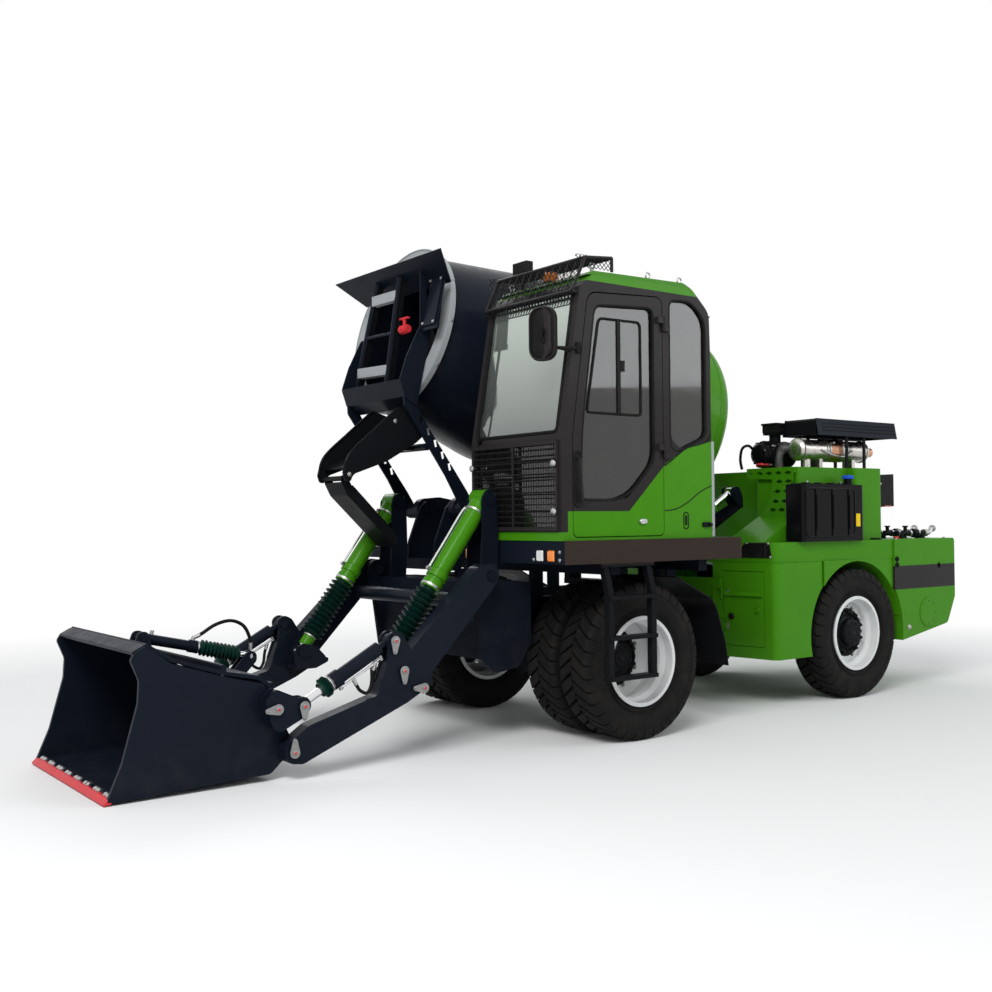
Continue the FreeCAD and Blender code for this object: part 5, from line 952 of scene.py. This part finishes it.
# work light, beacon, lifting eyes and the beacon's cable
part = Piece("roof_fittings", "front_frame", "black_plastic", plastic, amber, steel, black, clear_lens)
part.box(472, 459, 3140, 530, 613, 3253)
part.finish = 3
part.box(490, 530, 3066, 512, 546, 3145)
part.box(478, 476, 3128, 524, 596, 3142)
part.finish = 0
beacon = at(430, 754, 3070)
part.lathe([(0, 0.062), (0.014, 0.062), (0.018, 0.056)], beacon, UP)
part.finish = 1
part.lathe([(0.017, 0.052), (0.030, 0.055), (0.066, 0.052), (0.080, 0.040), (0.086, 0.015)], beacon, UP)
part.finish = 2
for x, y in ((470, 1215), (-30, 1215), (470, 370), (-330, 1215), (-330, 370)):
    foot = at(x, y, 3066)
    part.rod(foot, foot + UP * 0.020, 0.014)
    part.seal(circle(foot + UP * 0.042, FORWARDS * 0.020, UP * 0.020, 16), 0.0065)
part.finish = 3
part.tube([at(-300, CAB_LEFT - 30, 3062), at(-470, CAB_LEFT - 26, 3000), at(-560, CAB_LEFT - 24, 2890),
           at(-590, CAB_LEFT - 24, 2880)], 0.006, 8)
part.done(SOFT_EDGE)

# mirror: oval rim and domed back facing forwards, polished face behind, on a bent arm from the front post
MIRROR_TURN = math.radians(28)
MIRROR_FACING = Vector((math.cos(MIRROR_TURN), math.sin(MIRROR_TURN), 0))
MIRROR_ACROSS = Vector((-math.sin(MIRROR_TURN), math.cos(MIRROR_TURN), 0))
MIRROR_MIDDLE = at(898, 1236, 2630)
MIRROR_OUTLINE = soft_outline(rectangle(-90, -168, 90, 168, 84), 8)


def mirror_ring(wide, deep, tall):
    """The mirror's outline, scaled across and upwards and moved forwards by millimetres."""
    return [MIRROR_MIDDLE + MIRROR_ACROSS * (p.x * wide / 1000) + MIRROR_FACING * (deep / 1000)
            + UP * (p.y * tall / 1000) for p in MIRROR_OUTLINE]


part = Piece("mirror_shell", "front_frame", "black_plastic", plastic, rubber, mirror, grey)
part.rings([mirror_ring(size, depth, 1 - (1 - size) * 0.45) for depth, size in (
    (-20, 0.93), (-16, 1.0), (0, 1.03), (14, 1.0), (20, 0.93), (18, 0.86), (12, 0.84), (16, 0.70),
    (22, 0.45),
    (24, 0.1))])
part.finish = 2
part.prism(mirror_ring(0.86, -21.5, 0.93), MIRROR_FACING * 0.0018)
part.finish = 3
part.seal(mirror_ring(0.93, 18.5, 0.96), 0.006)
part.finish = 1
part.tube([at(650, 1262, 2560), at(700, 1290, 2552), at(780, 1300, 2545), at(870, 1280, 2548),
           at(922, 1258, 2590), at(924, 1250, 2640)], 0.0115)
part.rod(at(918, 1250, 2640), at(932, 1250, 2640), 0.024, 20)
part.rod(at(650, 1262, 2530), at(650, 1262, 2590), 0.020)
part.box(628, 1250, 2525, 662, 1282, 2595)
part.done(0.002)

GRILLE_WIRES = 36
GRILLE_PITCH = 25.2

# grille before the lower screen: upright wires between bars, and four round knobs
part = Piece("grille_wires", "front_frame", "black_paint", black, steel, plastic)
for k in range(GRILLE_WIRES):
    y = 352 + GRILLE_PITCH * k
    part.rod(at(801, y, 1424), at(801, y, 1962), 0.0022, 6)
for z in (1530, 1640, 1750, 1860):
    part.rod(at(803, 345, z), at(803, 1240, z), 0.0038, 8)
part.box(728, 350, 1420, 736, 1236, 1966)
part.finish = 1
for y in (362, 1226):
    for z in (1530, 1830):
        part.lathe([(-0.014, 0.008), (0.006, 0.008), (0.008, 0.019), (0.013, 0.023), (0.022, 0.022),
                    (0.028, 0.014),
                    (0.030, 0.003)], at(806, y, z), FORWARDS, 20)
part.done()

# wiper parked upright at the screen's right side
part = Piece("screen_wiper", "front_frame", "black_plastic", black, rubber)
part.rod(at(788, 420, 2015), at(812, 420, 2015), 0.018)
part.tube([at(810, 420, 2015), at(792, 424, 2160), at(748, 430, 2420)], 0.007, 8)
part.finish = 1
part.prism([at(768, 420, 2200), at(772, 430, 2200), at(680, 432, 2760), at(676, 422, 2760)],
           Vector((0.012, 0, 0.003)))
part.done(FINE_EDGE)

# platform: lamps in its front skirt, and bolts
front_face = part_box("cab_platform")[1].x
LAMP_MIDDLE_Z = 1250
LENS_DOME = 0.86


def skirt_point(out, y, z):
    return Vector((front_face + out, MID_Y + y / 1000, z / 1000))


part = Piece("platform_lamps", "front_frame", "black_plastic", plastic, amber, clear_lens, steel)
for y, lens in ((274, 1), (449, 2), (1051, 2), (1161, 1)):
    part.finish = 0
    outline = soft_outline(rectangle(y - 40, LAMP_MIDDLE_Z - 42, y + 40, LAMP_MIDDLE_Z + 42, 12))
    part.prism([skirt_point(-0.001, *p) for p in outline], FORWARDS * 0.006)
    part.finish = lens
    inner = soft_outline(rectangle(y - 33, LAMP_MIDDLE_Z - 35, y + 33, LAMP_MIDDLE_Z + 35, 10))
    domed = [(y + (p.x - y) * LENS_DOME, LAMP_MIDDLE_Z + (p.y - LAMP_MIDDLE_Z) * LENS_DOME) for p in inner]
    part.rings([[skirt_point(0.004, *p) for p in inner], [skirt_point(0.012, *p) for p in domed]])
part.finish = 3
for y, z in ((1240, 1225), (1240, 1275), (520, 1225), (980, 1225)):
    part.bolt(skirt_point(0, y, z), FORWARDS, 0.009)
part.done(FINE_EDGE)

# ---------------------------------------------------------------- drum, hopper and chute

drum_up = LEFT.cross(drum_back).normalized()
drum_up = drum_up if drum_up.z > 0 else -drum_up


def on_drum(back, angle, radius):
    """A point by its distance back from the mouth, its angle from straight down, and its radius."""
    return drum_mouth + drum_back * back + (LEFT * math.sin(angle) - drum_up * math.cos(angle)) * radius


def drum_band(piece, back, radius, wide, high):
    low, top = radius - 0.004, radius + high
    piece.lathe([(back - wide, low), (back - wide, top), (back + wide, top), (back + wide, low),
                 (back - wide, low)], drum_mouth, drum_back, 96, close=False)


MOUTH_BOLTS = 12
BLADE_STEPS = 60

part = Piece("drum_seams", "drum", "drum_paint", drum_paint, steel, pale_plate)
drum_band(part, 2.618, 0.845, 0.006, 0.0035)
drum_band(part, 2.22, 0.845, 0.004, 0.0030)
part.finish = 2
drum_band(part, 0.006, 0.632, 0.010, 0.006)
part.finish = 1
for i in range(MOUTH_BOLTS):
    foot = on_drum(0.030, FULL_TURN * i / MOUTH_BOLTS, 0.634)
    part.bolt(foot, foot - drum_mouth - drum_back * 0.030, 0.011)
part.done(FINE_EDGE)

# spiral blades seen through the mouth
part = Piece("drum_blades", "drum", "drum_paint", drum_dark)
for start_angle in (0.0, math.pi):
    rings = []
    for i in range(BLADE_STEPS + 1):
        share = i / BLADE_STEPS
        back, angle = 0.10 + 1.5 * share, start_angle + 4.2 * share
        outer, inner = on_drum(back, angle, 0.565 + 0.11 * share), on_drum(back, angle, 0.330 + 0.05 * share)
        rings.append([outer, outer + drum_back * 0.006, inner + drum_back * 0.006, inner])
    part.rings(rings)
part.done()


def hopper_point(x, y, z):
    """A point in the hopper's own axes: X out of the mouth along the drum, millimetres."""
    return drum_mouth - drum_back * (x / 1000) + LEFT * (y / 1000) + drum_up * (z / 1000)


# the strut channels and their rungs, the side post, the water valve and its bolts
part = Piece("hopper_parts", "cradle", "black_paint", black, slate, pale_plate, red, steel, hose_rubber)
STRUTS = ((hopper_point(80, -352, -500), hopper_point(200, -120, 318)),
          (hopper_point(80, 96, -520), hopper_point(200, 190, 318)))
for foot, top in STRUTS:
    depth = (top - foot).normalized().cross(LEFT).normalized()
    for offset, wide, deep in ((0.0, 0.030, 0.005), (0.026, 0.004, 0.024), (-0.026, 0.004, 0.024)):
        centre = LEFT * offset + depth * (0.022 if offset else 0.0)
        ring = [centre + LEFT * (wide * a) + depth * (deep * b)
                for a, b in ((1, 1), (-1, 1), (-1, -1), (1, -1))]
        part.rings([[foot + r for r in ring], [top + r for r in ring]])
part.finish = 2
for t in (0.20, 0.84):
    out = drum_back * -0.018
    part.rings([[p + out * a + UP * (0.036 * b) for a, b in ((1, 1), (1, -1), (-1, -1), (-1, 1))]
                for p in (foot.lerp(top, t) for foot, top in STRUTS)])
part.finish = 1
part.prism([hopper_point(98, y, z) for y, z in ((478, -70), (632, -70), (624, 292), (486, 292))],
           -drum_back * 0.010)
part.finish = 3
valve = hopper_point(110, 250, -60)
part.lathe([(-0.05, 0.028), (0.05, 0.028)], valve, LEFT, 20)
for low, high in ((-0.03, -0.012), (0.012, 0.03)):
    part.lathe([(low, 0.036), (high, 0.036)], valve, LEFT, 8)
part.rod(valve, valve + UP * 0.075, 0.013, 12)
part.block(valve + Vector((-0.012, -0.055, 0.072)), valve + Vector((0.012, 0.055, 0.086)))
part.finish = 4
for y in (478, 610):
    for z in (-50, 270):
        part.bolt(hopper_point(108, y, z), -drum_back, 0.009)
part.done(0.0012)

CHUTE_Y = -315
CHUTE_HALF = 188
FOLD_HALF = 117
part = Piece("chute_trim", "chute", "black_paint", black, steel)
for side in (-1, 1):
    y = CHUTE_Y + side * CHUTE_HALF
    part.finish = 0
    part.tube(side_points(y - side * 9, (1100, 2278), (1300, 2110), (1492, 1940), (1542, 1805)), 0.009, 10)
    part.finish = 1
    for x, z in ((1130, 2180), (1500, 1800)):
        part.bolt(at(x, y, z), LEFT * side, 0.012)
part.done()
part = Piece("chute_fold_pins", "chute_extension", "stainless", steel, black)
part.finish = 1
for side in (-1, 1):
    part.tube(side_points(CHUTE_Y + side * FOLD_HALF, (1440, 1722), (1270, 1556), (1104, 1392),
                          (1082, 1322)), 0.009, 10)
part.done()

# ---------------------------------------------------------------- rear of the machine

BACKWARDS = -FORWARDS
DECK_TOP = 1285.5

# hydraulic tank: ribs, edge, cap, blank label, straps and their bolts
part = Piece("tank_trim", "rear_frame", "tank_black", tank_plastic, blue, yellow, plastic, steel)
for x in (-2060, -2270, -2480):
    part.side_plate(rectangle(x - 15, 1380, x + 15, 1660, 14), 1017, 0.006)
part.seal(side_line(rectangle(-1925, 1325, -2545, 1705, 45), 1009), 0.009)
part.finish = 1
cap_foot = at(-2570, 930, 1789)
part.lathe([(0, 0.040), (0.004, 0.044), (0.024, 0.044), (0.030, 0.038), (0.033, 0.012)], cap_foot, UP, 24)
for foot in circle(cap_foot + UP * 0.004, FORWARDS * 0.043, LEFT * 0.043, 12):
    part.rod(foot, foot + UP * 0.020, 0.0045, 8)
part.finish = 2
part.side_plate(rectangle(-2618, 1400, -2562, 1505, 6), 1009.5, 0.0015)
part.finish = 3
part.box(-2620, 834, 1738, -1960, 850, 1752)
for x in (-2600, -2440, -2280, -2120):
    part.box(x, 842, 1742, x + 40, 900, 1758)
part.finish = 4
for x in (-2560, -2120):
    part.rod(at(x, 870, 1750), at(x, 870, 1772), 0.010, 8)
part.done(0.0015)

RIBS = 13
RIB_PITCH = 0.012

# silencer: end cones, bands, the ribbed copper stretch, clamps, a drain pipe and the bend from the engine
part = Piece("exhaust_trim", "rear_frame", "stainless", stainless, copper, steel, cast)
start = at(-2290, 640, 2040)
part.lathe([(-0.030, 0.045), (-0.022, 0.070), (-0.004, 0.088)], start, BACKWARDS, 40)
for along in (0.010, 0.300, 0.560, 0.845):
    part.collar(along - 0.010, along + 0.010, 0.0885, 0.0945, 0.002, start, BACKWARDS, 48)
part.finish = 1
part.lathe([(0.345 + RIB_PITCH * k, 0.0965 if k % 2 else 0.0885) for k in range(RIBS)], start, BACKWARDS, 48)
part.lathe([(0.852, 0.086), (0.905, 0.045), (0.960, 0.040), (0.985, 0.041)], start, BACKWARDS, 40)
part.finish = 2
for along in (0.330, 0.505):
    part.collar(along - 0.011, along + 0.011, 0.0885, 0.0975, 0.001, start, BACKWARDS, 48)
    part.rod(*[start + BACKWARDS * along + Vector((0, y, 0.06)) for y in (0.085, 0.125)], 0.008, 8)
part.tube([start + Vector((-x, y, z)) for x, y, z in (
    (0.20, 0.094, 0.0), (0.34, 0.112, -0.045), (0.50, 0.112, -0.050), (0.62, 0.094, 0.0))], 0.007, 8)
part.finish = 3
part.tube([at(-2300, 560, 2050), at(-2262, 520, 2050), at(-2232, 500, 1985), at(-2232, 500, 1890)],
          0.034, 16)
part.done(FINE_EDGE)

# air cleaner: body with bands and clips, the red dust cup, the rain cap and the hose into the hood
part = Piece("cleaner_trim", "rear_frame", "black_plastic", tank_plastic, red, plastic, steel)
start = at(-2130, 380, 2010)
part.lathe([(-0.030, 0.030), (-0.022, 0.070), (0.0, 0.092), (0.030, 0.0975), (0.048, 0.0975), (0.052, 0.114),
            (0.070, 0.114), (0.074, 0.1125)], start, BACKWARDS, 48)
part.finish = 1
part.lathe([(-0.020, 0.0), (-0.018, 0.050), (0.004, 0.056), (0.030, 0.056)], at(-2170, 380, 1935),
           Vector((0.2, 0.1, -1)))
part.finish = 0
for along in (0.12, 0.22, 0.31):
    part.collar(along - 0.006, along + 0.006, 0.1125, 0.1165, 0.002, start, BACKWARDS, 48)
part.lathe([(0.349, 0.110), (0.362, 0.098), (0.366, 0.02)], start, BACKWARDS, 40)
part.finish = 3
clip_half = Vector((0.02, 0.008, 0.008))
for a in (0.6, 2.2, 3.8, 5.4):
    clip = start + BACKWARDS * 0.060 + Vector((0, math.cos(a), math.sin(a))) * 0.118
    part.block(clip - clip_half, clip + clip_half)
part.finish = 2
part.box(-2404, 306, 2195, -2256, 454, 2262)
part.box(-2412, 298, 2258, -2248, 462, 2274)
part.tube([at(-2150, 300, 2050), at(-2105, 280, 2085), at(-2075, 240, 2060), at(-2085, 210, 1970),
           at(-2110, 205, 1888)], 0.012, 10)
part.done(0.002)

SHIELD_TOP = 2290
HOLES = 34
HOLE_PITCH = 29.5
HOLE_STAGGER = 14.7


def hole_row(piece, row, y, z, up, push):
    """A row of small oval marks of painted shade, standing for holes, along the heat shield; every second
    row is staggered.
    """
    for k in range(HOLES):
        x = -3376 + HOLE_PITCH * k + (HOLE_STAGGER if row % 2 else 0)
        piece.prism(circle(at(x, y, z), FORWARDS * 0.009, up, 8), push)


# heat shield: slanted skirts with rows of holes, and rows of holes along its top; the holes are near-black
# marks of painted shade
part = Piece("shield_trim", "rear_frame", "black_paint", slate, painted_hole_shade)
for side_y, lean in ((812, 1), (498, -1)):
    part.finish = 0
    part.rings([[at(x, side_y + out * lean, z)
                 for out, z in ((0, SHIELD_TOP), (26, 2152), (22, 2150), (-4, 2286))]
                for x in (-3404, -2316)])
    part.finish = 1
    for row in range(3):
        share = 0.30 + 0.20 * row
        hole_row(part, row, side_y + 26 * lean * share + 0.8 * lean, SHIELD_TOP - 138 * share,
                 Vector((0, -0.0014 * lean, 0.006)), LEFT * (0.0006 * lean))
for row, y in enumerate((764, 784)):
    hole_row(part, row, y, SHIELD_TOP + 0.4, LEFT * 0.006, UP * 0.0006)
part.done(smooth=False)


LOUVRE_SLATS = 7


# louvre on the deck's slanted front face, with upright slats and bolts at its corners
def deck_face(y, z, out):
    return at(-1545 - 80 * (y - 385) / 560 + out, y, z)


part = Piece("deck_louvre", "rear_frame", "black_plastic", plastic, steel, rubber)
outwards = Vector((0.99, 0.141, 0)).normalized()
part.prism([deck_face(y, z, 1) for y, z in ((535, 1165), (918, 1165), (895, 1283), (690, 1283))],
           outwards * 0.006)
for k in range(LOUVRE_SLATS):
    part.rings([[deck_face(y, z, 6), deck_face(y + wide, z, 6), deck_face(y + crest, z, 26)]
                for y, wide, crest, z in ((575 + 46 * k, 26, 16, 1172), (706 + 26 * k, 17, 11, 1278))])
part.finish = 1
for y, z in ((556, 1172), (905, 1172), (700, 1276), (886, 1276)):
    part.bolt(deck_face(y, z, 6), outwards, 0.009)
part.done(FINE_EDGE)


# toolbox door: lock, pressed ledge and the leaves of its hinges
def box_face(y, z, out):
    return at(-1530 - 80 * (y - 385) / 580 + out, y, z)


part = Piece("toolbox_latch", "toolbox_door", "stainless", steel, black, green)
outwards = Vector((0.99, 0.137, 0)).normalized()
part.finish = 1
part.lathe([(0, 0.026), (0.006, 0.026), (0.012, 0.018), (0.020, 0.016)], box_face(560, 700, 1), outwards, 24)
part.finish = 2
part.rings([[box_face(500, 898, out[0]), box_face(846, 898, out[0]), box_face(846, 866, out[1]),
             box_face(500, 866, out[1])] for out in ((0.5, 0.5), (2, 24))])
part.finish = 0
for z in (600, 860):
    part.prism([box_face(y, h, 1) for y, h in ((492, z), (540, z), (540, z + 50), (492, z + 50))],
               outwards * 0.004)
    for y in (505, 527):
        part.bolt(box_face(y, z + 25, 5), outwards, 0.006)
part.done(FINE_EDGE)

# slots, the round cover with its screws, and bolts on each side of the counterweight; the slots are filled
# with discs of painted shade, and the screws are drawn in the same near-black
part = Piece("rear_trim", "rear_frame", "black_paint", black, steel, green, painted_hole_shade, weight_paint)
SLOTS = (1118, 1070)
for side in (1, -1):
    outwards = LEFT * side
    face = side * 1000
    cover = at(-3576, face, 647)
    part.finish = 0
    for z in SLOTS:
        part.seal(circle(at(-3132, face, z), FORWARDS * 0.026, UP * 0.020, 20), 0.004)
    part.finish = 3
    for z in SLOTS:
        part.lathe([(0, 0.024), (0.0015, 0.024)], at(-3132, face, z), outwards, 20)
    part.finish = 4
    part.lathe([(0, 0.124), (0.005, 0.124), (0.008, 0.120)], cover, outwards, 48)
    part.finish = 3
    for foot in circle(cover, FORWARDS * 0.098, UP * 0.098, 8):
        part.lathe([(0, 0.006), (0.0085, 0.006)], foot, outwards, 12)
    part.finish = 1
    part.bolt(at(-3290, face, 535), outwards, 0.017)
    for x in (-3180, -3420, -3660, -3900):
        part.bolt(at(x, side * 960, DECK_TOP), UP, 0.010)
part.done(FINE_EDGE)

part = Piece("rear_lamps", "rear_frame", "black_plastic", plastic, red_lens, amber, steel)
for side in (1, -1):
    y1, y2 = sorted((side * 700, side * 866))
    part.finish = 0
    part.box(-3300, y1, 1574, -3083, y2, 1836)
    part.box(-3308, y1 + 6, 1566, -3296, y2 - 6, 1844)
    y1, y2 = sorted((side * 716, side * 852))
    for low, high, lens in ((1590, 1664, 2), (1670, 1744, 1), (1750, 1824, 1)):
        part.finish = lens
        part.box(-3314, y1, low, -3306, y2, high)
    part.box(-3286, y1, 1562, -3190, y2, 1575)
    part.finish = 3
    part.bolt(at(-3110, side * 866, 1760), LEFT * side, 0.008)
part.done(0.006)

# pipes on the deck: unions, a valve body, the bent end and its mouth; two caps beside them
part = Piece("deck_pipe_fittings", "rear_frame", "stainless", steel, black, red, plastic)
for y in (800, 620):
    foot = at(-3420, y, 1330)
    part.finish = 0
    for along in (0.03, 0.20, 0.33):
        part.collar(along - 0.012, along + 0.012, 0.0245, 0.032, 0.001, foot, BACKWARDS, 8)
    part.lathe([(0.415, 0.0245), (0.417, 0.033), (0.455, 0.033), (0.458, 0.028), (0.462, 0.02)], foot,
               BACKWARDS, 24)
    part.tube(side_points(y, (-3872, 1330), (-3915, 1331), (-3940, 1348), (-3962, 1366), (-3990, 1368)),
              0.022, 16)
    part.lathe([(0.0, 0.030), (0.026, 0.030), (0.030, 0.024)], at(-3965, y, 1367), BACKWARDS, 20)
    part.finish = 1
    part.collar(0.240, 0.303, 0.0245, 0.040, 0.003, foot, BACKWARDS, 8)
    part.finish = 3
    part.rod(at(-3560, y, 1383), at(-3560, y, 1396), 0.026, 6)
part.finish = 2
part.lathe([(0, 0.022), (0.016, 0.022), (0.020, 0.016)], at(-3280, 900, DECK_TOP), UP, 20)
part.finish = 1
part.lathe([(0, 0.060), (0.010, 0.060), (0.014, 0.052)], at(-2960, 905, DECK_TOP), UP)
part.done(FINE_EDGE)

# ---------------------------------------------------------------- stage, light and camera

CAMERA_PLACE = (5358, 6687, 1487)
CAMERA_YAW = math.radians(36.844)
CAMERA_PITCH = math.radians(1.151)
CAMERA_ROLL = math.radians(-0.499)
CAMERA_LENS = 41.36
FLOOR_NEAR = 5.5
FLOOR_FAR = 9.0
FLOOR_HALF = 60.0


def camera_turn():
    level = math.cos(CAMERA_PITCH)
    ahead = Vector((-math.sin(CAMERA_YAW) * level, -math.cos(CAMERA_YAW) * level, math.sin(CAMERA_PITCH)))
    right = ahead.cross(UP).normalized()
    up = right.cross(ahead)
    c, s = math.cos(CAMERA_ROLL), math.sin(CAMERA_ROLL)
    return Matrix((right * c + up * s, up * c - right * s, -ahead)).transposed().to_4x4()


camera = put("camera", bpy.data.cameras.new("camera"))
camera.data.lens = CAMERA_LENS
camera.data.sensor_width = 36.0
camera.data.clip_end = 200.0
camera.matrix_world = Matrix.Translation(at(*CAMERA_PLACE)) @ camera_turn()
bpy.context.scene.camera = camera

for name, place, target, size, power, colour in (
        ("key_light", (8.5, 7.0, 9.5), (0, 0, 1.2), 6.0, 1150.0, (1, 1, 1)),
        ("fill_light", (-8.0, 9.0, 6.0), (-1, 0, 1.2), 7.0, 330.0, (0.95, 0.98, 1.0)),
        ("back_light", (-2.0, -11.0, 9.0), (0, 0, 1.5), 8.0, 520.0, (1, 1, 1))):
    data = bpy.data.lights.new(name, "AREA")
    data.shape = "RECTANGLE"
    data.size = size
    data.size_y = size * 0.7
    data.energy = power
    data.color = colour
    facing = (Vector(target) - Vector(place)).to_track_quat("-Z", "Y").to_matrix().to_4x4()
    put(name, data).matrix_world = Matrix.Translation(Vector(place)) @ facing


def seen_directly(nodes, links):
    """One for camera, mirror and glass rays, nought for the rays that carry light."""
    path = nodes.new("ShaderNodeLightPath")
    total = path.outputs["Is Camera Ray"]
    for name in ("Is Glossy Ray", "Is Transmission Ray"):
        add = nodes.new("ShaderNodeMath")
        add.operation = "MAXIMUM"
        links.new(total, add.inputs[0])
        links.new(path.outputs[name], add.inputs[1])
        total = add.outputs["Value"]
    return total


g = Graph("studio_floor")
g.set(Base_Color=(0.86, 0.86, 0.86), Roughness=0.9, Specular_IOR_Level=0.1)
g.bump(g.noise(30.0, 4.0), 0.05, 0.001)
fade = g.spread(g.vectors("LENGTH", g.place).outputs["Value"], FLOOR_NEAR, FLOOR_FAR)
bright = g.add("ShaderNodeEmission", {"Color": (1, 1, 1)})
share = g.maths("MULTIPLY", fade, seen_directly(g.nodes, g.links))
blend_out = g.add("ShaderNodeMixShader",
                  {0: share, 1: g.shader.outputs["BSDF"], 2: bright.outputs["Emission"]})
g.feed(g.nodes["Material Output"].inputs["Surface"], blend_out.outputs["Shader"])

data = bpy.data.meshes.new("studio_floor")
data.from_pydata([(-FLOOR_HALF, -FLOOR_HALF, 0), (FLOOR_HALF, -FLOOR_HALF, 0), (FLOOR_HALF, FLOOR_HALF, 0),
                  (-FLOOR_HALF, FLOOR_HALF, 0)], [], [(0, 1, 2, 3)])
data.materials.append(g.material)
put("studio_floor", data)

world = bpy.data.worlds.new("studio")
world.use_nodes = True
bpy.context.scene.world = world
world_nodes, world_links = world.node_tree.nodes, world.node_tree.links
soft_sky = world_nodes["Background"]
plain_white = world_nodes.new("ShaderNodeBackground")
for node, colour, strength in ((soft_sky, (0.93, 0.95, 0.97, 1.0), 0.5), (plain_white, (1, 1, 1, 1), 1.0)):
    node.inputs["Color"].default_value = colour
    node.inputs["Strength"].default_value = strength
choice = world_nodes.new("ShaderNodeMixShader")
world_links.new(seen_directly(world_nodes, world_links), choice.inputs["Fac"])
world_links.new(soft_sky.outputs["Background"], choice.inputs[1])
world_links.new(plain_white.outputs["Background"], choice.inputs[2])
world_links.new(choice.outputs["Shader"], world_nodes["World Output"].inputs["Surface"])
bpy.context.scene.view_settings.view_transform = "Standard"
